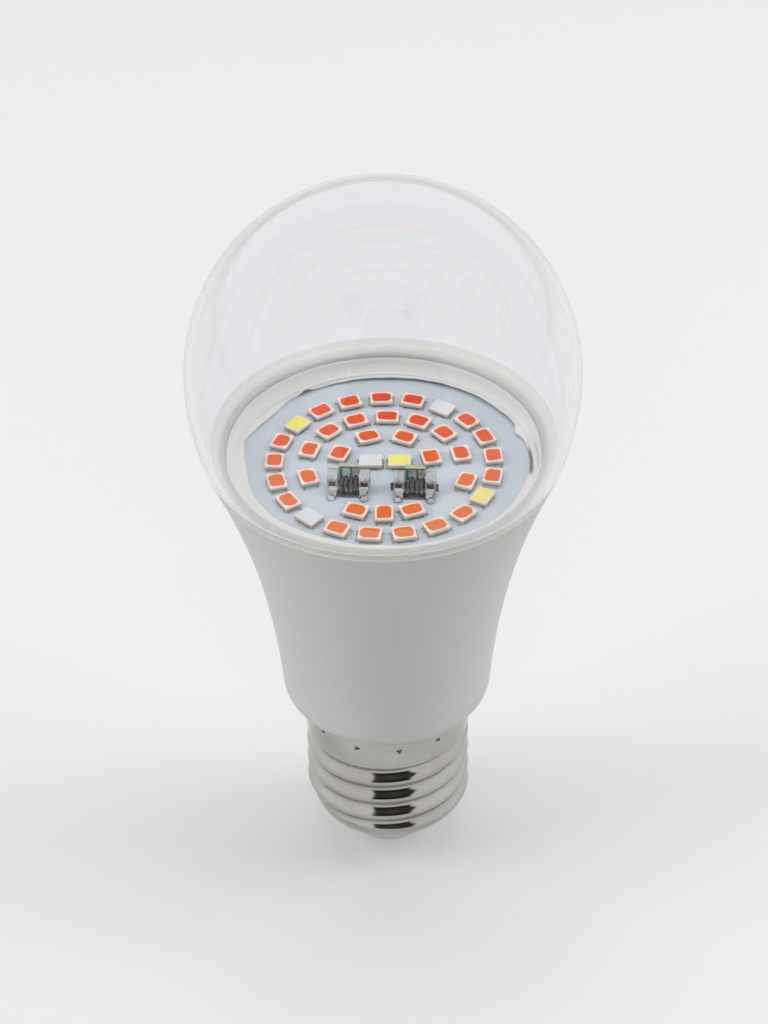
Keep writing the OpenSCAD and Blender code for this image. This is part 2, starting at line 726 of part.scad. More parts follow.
module output_capacitor_sleeve() {
    on_back_upright(output_place, output_cap_d) capacitor_sleeve(output_cap_d, output_cap_l);
}

flange_t = 1.2;
hub_share = 0.45;
module choke_core() {
    color([0.2, 0.2, 0.21]) on_back(choke_place[0], choke_place[1]) {
        cylinder(d = choke_d, h = flange_t);
        cylinder(d = choke_d * hub_share, h = choke_h);
        translate([0, 0, choke_h - flange_t]) cylinder(d = choke_d, h = flange_t);
    }
}
module choke_winding() {
    turn_d = 0.8;
    inner = choke_d * hub_share / 2 + seat_gap;
    outer = choke_d / 2 - 0.5;
    low = flange_t + seat_gap;
    high = choke_h - flange_t - seat_gap;
    turns = floor((high - low) / turn_d);
    color([0.72, 0.4, 0.2]) on_back(choke_place[0], choke_place[1]) rotate_extrude() {
        translate([inner, low]) square([outer - inner - turn_d / 2, high - low]);
        for (i = [0:turns - 1]) translate([outer - turn_d / 2, low + (i + 0.5) * (high - low) / turns])
            circle(d = turn_d, $fn = 24);
    }
}
module film_capacitor() {
    color([0.75, 0.3, 0.12]) on_back(film_place[0], film_place[1])
        translate([-film_cap_w / 2, -film_cap_d / 2, 0]) cube([film_cap_w, film_cap_d, film_cap_h]);
}
module fuse_resistor() {
    end_cap = 0.15;
    cap_l = 1.6;
    color([0.55, 0.7, 0.72]) on_back(fuse_place[0], fuse_place[1])
        translate([0, 0, fuse_d / 2 + end_cap]) rotate([90, 0, 0]) {
            cylinder(d = fuse_d, h = fuse_l);
            for (z = [0, fuse_l - cap_l]) translate([0, 0, z]) cylinder(d = fuse_d + 2 * end_cap, h = cap_l);
        }
}

// Leads that run through the driver board, as x and height
lead_d = 0.6;
lead_out = 1.1;
lead_step = 1.3;
choke_drop = choke_d / 2 + lead_step;
foot_z = can_foot - lead_step;
through_places = [[column_x - pair, foot_z], [column_x + pair, foot_z],
    [-column_x - pair, foot_z], [-column_x + pair, foot_z],
    [choke_place[0] - pair, choke_place[1] - choke_drop],
    [choke_place[0] + pair, choke_place[1] - choke_drop],
    [fuse_place[0], fuse_place[1] - lead_step], [fuse_place[0], fuse_place[1] + fuse_l + lead_step]];
module through_leads() {
    color("silver") for (p = through_places) on_back(p[0], p[1]) {
        cylinder(d = lead_d, h = lead_out, $fn = 24);
        translate([0, 0, lead_out]) sphere(d = lead_d, $fn = 24);
    }
}
module driver_solder() {
    color("silver") for (p = through_places) on_front(p[0], p[1]) solder_blob(0.8);
}

// Wires

tail_y = -driver_back;
wire_z = tail_foot + 2.5;
neutral_x = 5.2;
live_x = -4.2;
bare_r = spigot_r - bare_d / 2 - 0.02;
bare_z = spigot_foot + notch_rise - bare_d;
module live_wire() {
    out = tail_y + wire_d / 2 + fit_gap;
    color("white") wire([[live_x, out + 0.4, wire_z + 3], [live_x, out + 0.4, wire_z], [-3, -1.5, wire_z - 3],
        [-1, -0.4, stem_top + 2.6], [0, 0, stem_top + 1.5], [0, 0, stem_top + 0.8]], wire_d);
}
module neutral_wire() {
    out = tail_y + bare_d / 2 + fit_gap;
    color("silver") wire([[neutral_x, out + 0.6, wire_z + 3], [neutral_x, out + 0.6, wire_z],
        [0.63 * bore_r, -0.2 * bore_r, wire_z - 3], [0.8 * bore_r, -0.06 * bore_r, bare_z + 1],
        [bore_r, 0, bare_z], [bare_r - 0.3, 0, bare_z], [bare_r, 0, bare_z + 1],
        [bare_r, 0, notch_top - 1]], bare_d);
}
module contact_solder() {
    color("silver") translate([0, 0, stem_top + seat_gap]) difference() {
        solder_blob(stem_d / 2);
        translate([0, 0, 0.4]) cylinder(d = wire_d + 4 * fit_gap, h = stem_d, $fn = 24);
    }
}

// Screw cap

function ease(t) = let (c = min(max(t, 0), 1)) c * c * (3 - 2 * c);
// The shell's lower end curves in to the lip: an ellipse quarter from the thread to the lip
function end_r(z) = let (s = min(max((thread_low - z) / (thread_low - lip_z), 0), 1))
    lip_r + (root_r + 0.3 - lip_r) * sqrt(1 - s * s);
// Share of the way from root to crest, on a thread of even round ridges
function ridge(a, z) = 0.5 - 0.5 * cos(360 * (z - root_z) / thread_pitch - (a - front));
function thread_r(a, z) = let (f = ridge(a, z), w = ease((z - thread_high) / thread_fade))
    root_r + (crest_r - root_r) * (f + (1 - f) * w);
function shell_r(a, z) = z >= thread_low ? thread_r(a, z)
    : end_r(z) + (thread_r(a, thread_low) - end_r(thread_low)) * ease((z - lip_z) / (thread_low - lip_z));
function crimp_at(i, z) = i % len(crimp_share) == 1 && abs(z - crimp_z) < crimp_half / 2 ? crimp_depth : 0;

module screw_cap() {
    share = 360 / crimp_count;
    per = len(crimp_share);
    around = crimp_count * per;
    angles = [for (c = [0:crimp_count - 1], s = crimp_share) crimp_start + c * share + s];
    step = thread_pitch / rings_per_turn;
    threads = floor((band_z - thread_low) / step);
    end_steps = 5;
    heights = concat(
        [for (i = [0:end_steps]) lip_z + (thread_low - lip_z) * sin(90 * i / (end_steps + 1))],
        [for (i = [0:threads]) thread_low + (band_z - thread_low) * i / threads],
        [crimp_z - crimp_half, crimp_z, crimp_z + crimp_half, cap_h]);
    rows = len(heights);
    // The sheet leans in towards the lip, so its inner face steps in further there
    function sheet(z) = cap_wall * (1 + 0.5 * ease((thread_low - z) / (thread_low - lip_z)));
    outer = [for (z = heights, i = [0:around - 1]) let (r = shell_r(angles[i], z) - crimp_at(i, z))
        [r * cos(angles[i]), r * sin(angles[i]), z]];
    inner = [for (j = [rows - 1:-1:0], i = [0:around - 1])
        let (z = heights[j], r = shell_r(angles[i], z) - crimp_at(i, z) - sheet(z))
        [r * cos(angles[i]), r * sin(angles[i]), z]];
    rings = 2 * rows;
    faces = [for (j = [0:rings - 1], i = [0:around - 1]) let (m = (i + 1) % around, n = (j + 1) % rings,
        a = j * around + i, b = j * around + m, c = n * around + m, d = n * around + i)
        each [[a, c, b], [a, d, c]]];
    color("silver") polyhedron(concat(outer, inner), faces);
}

module cap_insulator() {
    lip_in_r = lip_r - 1.5 * cap_wall - fit_gap;
    plug_z = insulator_top - 0.9;
    color([0.82, 0.83, 0.83]) rotate_extrude() polygon([[stem_d / 2 + fit_gap, contact_t + seat_gap],
        [contact_d / 2 + 0.6, contact_t + seat_gap], [lip_in_r - 0.2, lip_z - 0.2], [lip_in_r, lip_z],
        [lip_in_r, lip_z + 0.4], [insulator_r - 0.7, plug_z - 0.5], [insulator_r, plug_z + 0.4],
        [insulator_r, insulator_top], [stem_d / 2 + fit_gap, insulator_top]]);
}

module centre_contact() {
    edge = 0.5;
    color([0.75, 0.75, 0.74]) rotate_extrude() {
        square([contact_d / 2 - edge, contact_t]);
        translate([0, edge]) square([contact_d / 2, contact_t - edge]);
        translate([contact_d / 2 - edge, edge]) circle(edge, $fn = 32);
        square([stem_d / 2, stem_top]);
    }
}

diffuser_dome();
outer_housing();
heat_sink_cup();
light_board();
sealing_bead();
red_light_frames();
red_light_gels();
red_light_pads();
white_light_frames();
white_light_gels();
white_light_pads();
blue_light_frames();
blue_light_gels();
blue_light_pads();
left_board_clip();
right_board_clip();
clip_solder();
driver_board();
tab_contacts();
bridge_rectifier();
driver_chip();
flyback_diode();
chip_resistors();
chip_capacitors();
surface_leads();
input_capacitor();
input_capacitor_sleeve();
output_capacitor();
output_capacitor_sleeve();
choke_core();
choke_winding();
film_capacitor();
fuse_resistor();
through_leads();
driver_solder();
live_wire();
neutral_wire();
contact_solder();
screw_cap();
cap_insulator();
centre_contact();
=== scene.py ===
# %% [markdown]
# # A clear-domed grow light bulb
#
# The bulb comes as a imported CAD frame: forty-one named pieces, each in its real place.
# This file puts the looks over that frame. It loads the pieces, works out finer surfaces
# for those that show, and gives every piece the finish it has on a real bulb.
#
# Sizes are written in millimetres, as they are on a drawing, and are turned into metres
# at the moment a mesh is made.

# %% Load the frame
import math

import bmesh
import bpy
import numpy as np
from mathutils import Matrix, Vector


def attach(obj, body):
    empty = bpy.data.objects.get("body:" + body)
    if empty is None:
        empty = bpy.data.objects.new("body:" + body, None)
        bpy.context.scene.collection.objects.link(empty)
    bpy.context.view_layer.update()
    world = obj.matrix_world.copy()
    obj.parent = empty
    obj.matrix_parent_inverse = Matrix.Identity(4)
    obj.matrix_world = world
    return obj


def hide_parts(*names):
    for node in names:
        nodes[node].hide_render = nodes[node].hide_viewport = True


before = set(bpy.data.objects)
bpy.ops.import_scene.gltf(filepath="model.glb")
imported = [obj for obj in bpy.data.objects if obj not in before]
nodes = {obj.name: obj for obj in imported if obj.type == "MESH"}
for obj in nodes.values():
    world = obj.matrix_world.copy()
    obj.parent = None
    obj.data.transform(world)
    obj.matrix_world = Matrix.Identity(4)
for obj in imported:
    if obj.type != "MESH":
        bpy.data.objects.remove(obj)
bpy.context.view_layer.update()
scene = bpy.context.scene
MM = 0.001
print("CAD pieces loaded:", len(nodes))

# %% [markdown]
# ## Camera
#
# The camera stands in front of the bulb and looks down on it from about 38 degrees, with
# a long lens, so that far and near lights are nearly the same size. Its distance, its tilt
# and its small roll were worked out from the outline of the bulb in the photograph. A roll
# could be keyed in by hand, but as numbers it stays the same on every run.

# %% Place the camera
BALL_MIDDLE = np.array([0.0, 0.0, 90.0])
camera_data = bpy.data.cameras.new("camera")
camera = bpy.data.objects.new("camera", camera_data)
scene.collection.objects.link(camera)
scene.camera = camera


def plane_turn(angle, first, second):
    """The matrix that turns by an angle in the plane of two axes."""
    turn = np.eye(3)
    turn[first, first] = turn[second, second] = math.cos(angle)
    turn[first, second], turn[second, first] = -math.sin(angle), math.sin(angle)
    return turn


def aim_camera(distance, height_angle, swing, tilt, roll, focal_px, picture_px=1024):
    """Aims the camera at the ball's middle from height_angle above the horizon, and then
    swings, tilts and rolls it by small turns about its own axes."""
    c, s = math.cos(height_angle), math.sin(height_angle)
    axes = np.array([[1, 0, 0], [0, s, c], [0, c, -s]])
    turns = plane_turn(roll, 0, 1) @ plane_turn(tilt, 1, 2) @ plane_turn(swing, 0, 2)
    right, up, ahead = turns @ axes
    place = (BALL_MIDDLE + distance * np.array([0, -c, s])) * MM
    turn = Matrix([[right[i], up[i], -ahead[i]] for i in range(3)]).to_4x4()
    camera.matrix_world = Matrix.Translation(Vector(place)) @ turn
    camera_data.sensor_width = 36
    camera_data.lens = focal_px / picture_px * camera_data.sensor_width
    camera_data.clip_start = 0.01


aim_camera(distance=558.4, height_angle=0.6249, swing=-0.0002, tilt=-0.0373, roll=0.0131,
           focal_px=3716.4)
print("lens, mm:", round(camera_data.lens, 2), "at", [round(v, 3) for v in camera.location])

# %% [markdown]
# ## Helpers for surfaces
#
# Nearly every piece here is a grid of points: rows run along a profile, columns run round
# the axis or along the piece. One helper joins such a grid with four-sided faces, one
# turns a profile round the axis, and one makes the mesh. Whole arrays are worked out at
# once, which is quick and keeps each shape a short formula.

# %% Grid, mesh and turning helpers
WELD = 2e-7
finishes = {}


def grid_faces(rows, columns, close_rows=False, close_columns=False):
    """Quads of a grid numbered row by row: a point, the next in its row, and the two
    beside them in the next row. A closed direction joins its last line to its first."""
    r = np.arange(rows if close_rows else rows - 1)[:, None]
    c = np.arange(columns if close_columns else columns - 1)[None, :]
    r2, c2 = (r + 1) % rows, (c + 1) % columns
    corners = [r * columns + c, r * columns + c2, r2 * columns + c2, r2 * columns + c]
    return np.stack(np.broadcast_arrays(*corners), -1).reshape(-1, 4)


def add_piece(name, points, faces, finish, slot, replaces=(), sharp=40.0, shade=None, second=None):
    """One mesh from points in mm and faces as rows of point numbers. Points in one place
    become one, which closes seams and poles, and edges sharper than an angle stay crisp.
    shade, one number a point, becomes an attribute that a finish can read. second is
    another finish and, face by face, whether it is used there."""
    mesh = bpy.data.meshes.new(name)
    rows = faces.tolist() if isinstance(faces, np.ndarray) else [list(f) for f in faces]
    mesh.from_pydata((np.asarray(points, float) * MM).tolist(), [], rows)
    mesh.materials.append(finishes[finish])
    if second is not None:
        mesh.materials.append(finishes[second[0]])
        mesh.polygons.foreach_set("material_index", np.asarray(second[1], np.int32))
    if shade is not None:
        mesh.attributes.new("shade", "FLOAT", "POINT").data.foreach_set(
            "value", np.asarray(shade, np.float32))
    work = bmesh.new()
    work.from_mesh(mesh)
    bmesh.ops.remove_doubles(work, verts=work.verts, dist=WELD)
    work.to_mesh(mesh)
    work.free()
    mesh.validate()
    mesh.shade_smooth()
    mesh.set_sharp_from_angle(angle=math.radians(sharp))
    piece = bpy.data.objects.new(name, mesh)
    scene.collection.objects.link(piece)
    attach(piece, "root")
    if replaces:
        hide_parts(*replaces)
    print(f"{name}: {len(mesh.vertices)} points, {len(mesh.polygons)} faces")


def rounded(corners, steps=5):
    """A closed profile from rows of (r, z, size): each corner with a size is replaced by a
    quadratic blend that starts and ends that far from the corner along its two sides."""
    corners = np.asarray(corners, float)
    out = []
    t = np.linspace(0, 1, steps)[:, None]
    for i, (r, z, size) in enumerate(corners):
        here = np.array([r, z])
        if size <= 0:
            out.append(here[None])
            continue
        before, after = corners[i - 1, :2], corners[(i + 1) % len(corners), :2]
        a = here + (before - here) / np.linalg.norm(before - here) * size
        b = here + (after - here) / np.linalg.norm(after - here) * size
        out.append((1 - t) ** 2 * a + 2 * t * (1 - t) * here + t ** 2 * b)
    return np.concatenate(out)


def round_axis(r, angle, z):
    """Points at a radius and a height, at an angle in radians round the axis:
    (r cos a, r sin a, z)."""
    r, angle, z = np.broadcast_arrays(r, angle, z)
    return np.stack([r * np.cos(angle), r * np.sin(angle), z], -1)


def turned(profile, steps=192):
    """Points and faces of a closed (r, z) profile turned round the axis: the profile is
    copied at even angles. Its faces are set to point outwards by the sign of the
    profile's area."""
    profile = np.asarray(profile, float)
    a = np.arange(steps) * 2 * np.pi / steps
    points = round_axis(profile[:, :1], a, profile[:, 1:]).reshape(-1, 3)
    faces = grid_faces(len(profile), steps, close_rows=True, close_columns=True)
    x, y = profile[:, 0], profile[:, 1]
    area = np.sum(x * np.roll(y, -1) - np.roll(x, -1) * y)
    return points, faces if area > 0 else faces[:, ::-1]


def arc(centre, radius, start, end, steps):
    """Points of a circle's arc, by angle in degrees."""
    a = np.radians(np.linspace(start, end, steps))
    return np.stack([centre[0] + radius * np.cos(a), centre[1] + radius * np.sin(a)], -1)


def gathered(parts):
    """One mesh's points and faces from several, each part's faces moved past the points
    that come before it."""
    points, faces, count = [], [], 0
    for p, f in parts:
        points.append(p)
        faces += [[int(k) + count for k in row] for row in f]
        count += len(p)
    return np.concatenate(points), faces

# %% [markdown]
# ## Helpers for finishes
#
# Three small node groups give every finish its life. Grain is the fine texture that a
# mould leaves, as a normal. Wear is how the shine changes from place to place where the
# piece was handled. Drift is the slow change of colour over a real surface. Each is
# made once and placed in every material with its own numbers.

# %% Nodes, and a group that starts with noise


def node_outputs(tree, kind, inputs, **settings):
    """The outputs of a new node. Its settings are made first, and then its inputs are fed: a
    socket is linked, and a plain value is set."""
    node = tree.nodes.new("ShaderNode" + kind)
    for name, value in settings.items():
        setattr(node, name, value)
    for label, value in inputs.items():
        if isinstance(value, bpy.types.NodeSocket):
            tree.links.new(value, node.inputs[label])
        else:
            node.inputs[label].default_value = value
    return node.outputs


def noise_group(name, inputs, output, output_kind, **noise_values):
    """A group that starts with noise over the piece's own coordinates, at a scale given by its
    input Size. Gives the group, what it is given, the noise, and the socket to end in."""
    group = bpy.data.node_groups.new(name, "ShaderNodeTree")
    for label, default in inputs.items():
        kind = "NodeSocketFloat" if isinstance(default, float) else "NodeSocketColor"
        group.interface.new_socket(label, in_out="INPUT", socket_type=kind).default_value = default
    group.interface.new_socket(output, in_out="OUTPUT", socket_type=output_kind)
    given = group.nodes.new("NodeGroupInput").outputs
    place = node_outputs(group, "TexCoord", {})["Object"]
    noise = node_outputs(group, "TexNoise", {"Vector": place, "Scale": given["Size"], **noise_values})
    return group, given, noise["Fac"], group.nodes.new("NodeGroupOutput").inputs[output]


# %% Node groups for grain, wear and drift
GRAIN_HEIGHT = 0.0001


def grain_group():
    """Noise as a height, which tips the normal."""
    group, given, noise, end = noise_group("grain", {"Size": 900.0, "Depth": 0.1}, "Normal",
                                           "NodeSocketVector", Detail=2.0)
    tipped = node_outputs(group, "Bump", {"Distance": GRAIN_HEIGHT, "Strength": given["Depth"],
                                          "Height": noise})["Normal"]
    group.links.new(tipped, end)
    return group


def wear_group():
    """Broad and fine noise around zero, times Spread, added to a base roughness."""
    group, given, noise, end = noise_group("wear", {"Base": 0.4, "Spread": 0.1, "Size": 60.0}, "Roughness",
                                           "NodeSocketFloat", Detail=5.0, Roughness=0.65)
    off = node_outputs(group, "Math", {0: noise, 1: 0.5}, operation="SUBTRACT")[0]
    level = node_outputs(group, "Math", {0: off, 1: given["Spread"], 2: given["Base"]},
                         operation="MULTIPLY_ADD", use_clamp=True)[0]
    group.links.new(level, end)
    return group


def drift_group():
    """A slow noise, stretched to full range, that leads from one colour to another."""
    group, given, noise, end = noise_group(
        "drift", {"Colour": (0.8, 0.8, 0.8, 1), "Other": (0.7, 0.7, 0.7, 1), "Size": 40.0}, "Colour",
        "NodeSocketColor", Detail=3.0)
    share = node_outputs(group, "MapRange", {"Value": noise, "From Min": 0.3, "From Max": 0.7})["Result"]
    mix = node_outputs(group, "Mix", {"Factor": share, "A": given["Colour"], "B": given["Other"]},
                       data_type="RGBA")
    group.links.new(mix["Result"], end)
    return group


GRAIN, WEAR, DRIFT = grain_group(), wear_group(), drift_group()
print("node groups:", [g.name for g in (GRAIN, WEAR, DRIFT)])

# %% One finish from its numbers


def linear(colour):
    """A colour written as 0 to 255 brightness, as light: the sRGB curve undone."""
    c = np.asarray(colour, float) / 255
    return tuple(np.where(c <= 0.04045, c / 12.92, ((c + 0.055) / 1.055) ** 2.4)) + (1.0,)


def finish(name, colour, other=None, drift=40.0, rough=0.4, spread=0.1, wear=60.0, grain=900.0,
           depth=0.1, metal=0.0, shade_to=None, **shader):
    """A Principled material: drift feeds its colour, wear its roughness and grain its
    normal. shade_to mixes in a third colour by the piece's shade attribute. Without an other
    colour, the colour is plain, and is set on the shader itself."""
    material = bpy.data.materials.new(name)
    material.use_nodes = True
    tree = material.node_tree
    principled = tree.nodes["Principled BSDF"].inputs
    principled["Metallic"].default_value = metal
    for label, value in shader.items():
        principled[label.replace("_", " ")].default_value = value

    def placed(group, output, **inputs):
        return node_outputs(tree, "Group", inputs, node_tree=group)[output]

    if other is None:
        principled["Base Color"].default_value = linear(colour)
    else:
        tint = placed(DRIFT, "Colour", Colour=linear(colour), Other=linear(other), Size=drift)
        if shade_to is not None:
            shade = node_outputs(tree, "Attribute", {}, attribute_name="shade")["Fac"]
            tint = node_outputs(tree, "Mix", {"Factor": shade, "A": tint, "B": linear(shade_to)},
                                data_type="RGBA")["Result"]
        tree.links.new(tint, principled["Base Color"])
    tree.links.new(placed(WEAR, "Roughness", Base=rough, Spread=spread, Size=wear),
                   principled["Roughness"])
    if depth > 0:
        tree.links.new(placed(GRAIN, "Normal", Size=grain, Depth=depth), principled["Normal"])
    finishes[name] = material


# %% [markdown]
# ## Light, floor and background
#
# The bulb stands on a pale floor under plain, soft light: two wide lamps at the sides, one
# above and a weak one in front. Wide lamps give soft edges to every shadow. The lamps hide
# from rays that pass through the ball, because the ball already lets their light through
# to the board, and otherwise it would count twice. They hide from mirror rays as well, as a
# white tent round the bulb would hide them: the tent itself is the world, which is brighter
# to mirror rays than it is as a light. Only the weak one in front leaves a highlight.
#
# The bright metal of the cap mirrors what stands around it. In a studio that includes the
# dark gap in front, where the camera is, and it is what draws the black bars down the
# middle of the thread. A dark card stands in for it, with a foot that lies on the floor in
# front of the bulb, and only mirror rays meet the two.

# %% World and lamps
LIT_MIDDLE = (0, 0, 0.06)
world = bpy.data.worlds.new("studio")
scene.world = world
world.use_nodes = True
tent = world.node_tree
tent.nodes["Background"].inputs["Color"].default_value = (0.985, 0.99, 1.0, 1)
scene.view_settings.view_transform = "Standard"


def soft_lamp(name, place, size, watts, mirrored=False):
    """A rectangular lamp that faces the bulb's middle. One that isn't mirrored lights but
    doesn't show in shiny surfaces."""
    data = bpy.data.lights.new(name, "AREA")
    data.shape = "RECTANGLE"
    data.size, data.size_y = size
    data.energy = watts
    lamp = bpy.data.objects.new(name, data)
    scene.collection.objects.link(lamp)
    lamp.location = place
    lamp.rotation_euler = (Vector(LIT_MIDDLE) - Vector(place)).to_track_quat("-Z", "Y").to_euler()
    lamp.visible_transmission = False
    lamp.visible_glossy = mirrored


soft_lamp("lamp_left", (-0.72, -0.1, 0.52), (0.5, 0.6), 3.5)
soft_lamp("lamp_right", (0.72, 0.05, 0.54), (0.5, 0.6), 3.7)
soft_lamp("lamp_above", (0.0, 0.25, 0.9), (0.8, 0.6), 3.8)
soft_lamp("lamp_front", (0.0, -0.9, 0.55), (0.7, 0.4), 1.5, mirrored=True)

# %% The tent, as light and as it is seen
TENT_LIGHT, TENT_SEEN = 0.4, 0.92


def ray_seen(tree):
    """1 for rays that come from the camera, a mirror or glass, and 0 for the others: the
    greatest of three outputs of Light Path."""
    ray = node_outputs(tree, "LightPath", {})
    bent = node_outputs(tree, "Math", {0: ray["Is Glossy Ray"], 1: ray["Is Transmission Ray"]},
                        operation="MAXIMUM")[0]
    return node_outputs(tree, "Math", {0: ray["Is Camera Ray"], 1: bent}, operation="MAXIMUM")[0]


strength = node_outputs(tent, "MapRange", {"Value": ray_seen(tent), "To Min": TENT_LIGHT,
                                           "To Max": TENT_SEEN})["Result"]
tent.links.new(strength, tent.nodes["Background"].inputs["Strength"])
print("tent: lights at", TENT_LIGHT, "and shows at", TENT_SEEN)

# %% Floor and dark card
FAR_START, FAR_END, FAR_GLOW = 0.8, 1.9, 0.6


def stage_sheet(name, corners, colour, glow=0.0):
    """A flat sheet that is no part of the bulb. glow makes it paler to the rays that see it,
    without any more light on the bulb. Far away it fades into FAR_GLOW, as pale as the tent."""
    mesh = bpy.data.meshes.new(name)
    mesh.from_pydata(corners, [], [list(range(len(corners)))])
    material = bpy.data.materials.new(name)
    material.use_nodes = True
    tree = material.node_tree
    principled = tree.nodes["Principled BSDF"].inputs
    for label, value in (("Base Color", colour), ("Roughness", 0.9), ("Specular IOR Level", 0.1)):
        principled[label].default_value = value
    if glow > 0:
        principled["Emission Color"].default_value = (1, 1, 1, 1)
        place = node_outputs(tree, "TexCoord", {})["Object"]
        away = node_outputs(tree, "VectorMath", {0: place}, operation="LENGTH")["Value"]
        fade = node_outputs(tree, "MapRange", {"Value": away, "From Min": FAR_START, "From Max": FAR_END,
                                               "To Min": glow, "To Max": FAR_GLOW},
                            interpolation_type="SMOOTHSTEP")["Result"]
        shown = node_outputs(tree, "Math", {0: ray_seen(tree), 1: fade}, operation="MULTIPLY")[0]
        tree.links.new(shown, principled["Emission Strength"])
    mesh.materials.append(material)
    sheet = bpy.data.objects.new(name, mesh)
    scene.collection.objects.link(sheet)
    return sheet


stage_sheet("floor", [(-4, -4, 0), (4, -4, 0), (4, 4, 0), (-4, 4, 0)], (0.52, 0.52, 0.525, 1), glow=0.2)
DARK, CARD_Y, FOOT_Y, FOOT_Z = (0.006, 0.006, 0.007, 1), -0.36, -0.08, 0.001
CARD = [(-0.145, 0.0), (0.175, 0.0), (0.185, 0.13), (0.3, 0.28), (0.3, 1.2), (-0.145, 1.2)]
FOOT = [(-0.145, CARD_Y), (0.175, CARD_Y), (0.04, FOOT_Y), (-0.032, FOOT_Y)]
for name, corners in (("dark_card", [(x, CARD_Y, z) for x, z in CARD]),
                      ("dark_card_foot", [(x, y, FOOT_Z) for x, y in FOOT])):
    sheet = stage_sheet(name, corners, DARK)
    for way in ("camera", "diffuse", "transmission", "shadow", "volume_scatter"):
        setattr(sheet, "visible_" + way, False)
print("stage: floor, dark card and its foot")

# %% [markdown]
# ## Finishes
#
# Each finish is named for what the real piece is made of or coated with: clear moulded
# plastic and its hazy rim, satin white plastic, rolled and plated sheet, a smooth solder
# mask, white sealant, the lights' moulded frames and their gels, and the clips' spring
# sheet, solder and flux. The flux finish also draws thin lines of painted shade, and
# several finishes mix in painted shade or a painted veil by their shade_to colour. The
# hidden pieces have the finish of real driver parts. The colours are written as the eye
# sees them, from 0 to 255, and values that most finishes share are left at what the helper
# gives.

# %% Finishes of the casing
finish("clear_ball", (250, 251, 252), rough=0.03, spread=0.02, wear=25, depth=0.0, Transmission_Weight=1.0,
       IOR=1.45, Specular_IOR_Level=0.25, Sheen_Weight=0.6, Sheen_Roughness=0.28, Sheen_Tint=(1, 1, 1, 1))
finish("hazy_rim", (238, 237, 232), (230, 229, 225), drift=150, spread=0.12, wear=120, grain=600,
       depth=0.12, Transmission_Weight=0.68, IOR=1.45)
finish("satin_white", (200, 200, 198), (196, 196, 194), rough=0.42, spread=0.07, wear=45, grain=2600,
       depth=0.12)
finish("cup_sheet", (200, 203, 206), (188, 191, 195), rough=0.36, spread=0.14, metal=1.0, grain=700,
       depth=0.15)
# plated_sheet's shade_to is the painted shade in the cap's pressings.
finish("plated_sheet", (192, 190, 185), (174, 171, 165), drift=110, rough=0.13, wear=160, metal=1.0,
       grain=260, depth=0.08, shade_to=(18, 17, 16))
finish("cap_insulator", (222, 221, 218), (216, 215, 212), rough=0.3, spread=0.08, grain=1500, depth=0.06)
finish("contact_metal", (234, 232, 227), (226, 223, 217), rough=0.25, spread=0.16, wear=200, metal=1.0,
       depth=0.25)
finish("sealant", (215, 214, 210), (207, 207, 203), rough=0.33, wear=90, grain=420, depth=0.35,
       shade_to=(62, 56, 58))
print("finishes of the casing:", len(finishes))

# %% Finishes of the board, its lights and clips
finish("board_mask", (184, 191, 199), (178, 186, 195), drift=150, rough=0.34, spread=0.08, wear=200,
       grain=1400, depth=0.06)
# light_frame's shade_to is the painted shade at the frames' foot.
finish("light_frame", (236, 216, 202), (226, 210, 198), drift=300, rough=0.42, grain=3000,
       shade_to=(150, 147, 138))
# The gels' shade_to colours are paler: a painted veil on the front lights, in place of the ball's whitish
# veil.
finish("red_gel", (202, 52, 0), (208, 63, 0), drift=500, rough=0.34, wear=500, grain=2500, depth=0.25,
       Specular_IOR_Level=0.1, shade_to=(212, 103, 18))
finish("yellow_gel", (222, 204, 78), (226, 210, 96), drift=500, rough=0.34, wear=500, grain=2500,
       depth=0.2, Specular_IOR_Level=0.15, shade_to=(222, 212, 122))
finish("clear_gel", (208, 208, 206), (202, 203, 203), drift=500, rough=0.25, spread=0.08, wear=500,
       grain=2500, depth=0.2, shade_to=(196, 199, 200))
finish("tinned", (212, 212, 208), (160, 160, 156), drift=900, rough=0.2, spread=0.14, wear=700, metal=1.0,
       grain=2600, depth=0.5)
# spring_sheet's shade_to darkens the clips' deep parts as painted shade, and also their mottle.
finish("spring_sheet", (216, 217, 216), (186, 187, 187), drift=700, rough=0.16, spread=0.14, wear=600,
       metal=1.0, grain=1500, depth=0.45, shade_to=(44, 42, 40))
finish("flux", (74, 68, 60), (96, 88, 78), drift=900, rough=0.35, spread=0.2, grain=1200, depth=0.3)
finish("laminate", (176, 172, 152), (160, 156, 138), drift=600, rough=0.6, grain=3000, depth=0.4)
finish("solder", (212, 213, 214), (186, 187, 188), drift=900, rough=0.13, wear=900, metal=1.0, grain=1800,
       depth=0.4, shade_to=(60, 58, 56))
print("finishes with those of the board:", len(finishes))

# %% Finishes of the driver
finish("green_mask", (30, 110, 70), (24, 98, 62), drift=200, rough=0.28, grain=1800, depth=0.15)
finish("moulding_black", (44, 44, 46), (38, 38, 40), rough=0.5, grain=3500, depth=0.4)
finish("chip_black", (36, 36, 40), (46, 46, 50), rough=0.35, grain=2500, depth=0.2)
finish("chip_tan", (176, 148, 112), (164, 136, 100), rough=0.38, grain=2500, depth=0.2)
finish("drawn_can", (204, 206, 208), (190, 192, 195), rough=0.26, metal=1.0, depth=0.15)
finish("shrunk_sleeve", (34, 40, 56), (30, 35, 50), rough=0.3, spread=0.12, grain=500, depth=0.3)
finish("ferrite", (66, 66, 70), (54, 54, 58), rough=0.6, spread=0.12, grain=2600, depth=0.6)
finish("magnet_wire", (190, 108, 60), (172, 92, 48), drift=400, rough=0.26, spread=0.12, metal=1.0,
       grain=2400, depth=0.3)
finish("film_body", (188, 92, 44), (176, 82, 36), rough=0.28, spread=0.08, grain=400, depth=0.25)
finish("resistor_body", (146, 186, 190), (136, 176, 182), depth=0.25)
finish("wire_cover", (226, 226, 224), (216, 216, 214), rough=0.45, grain=1600, depth=0.15)
print("finishes in all:", len(finishes))

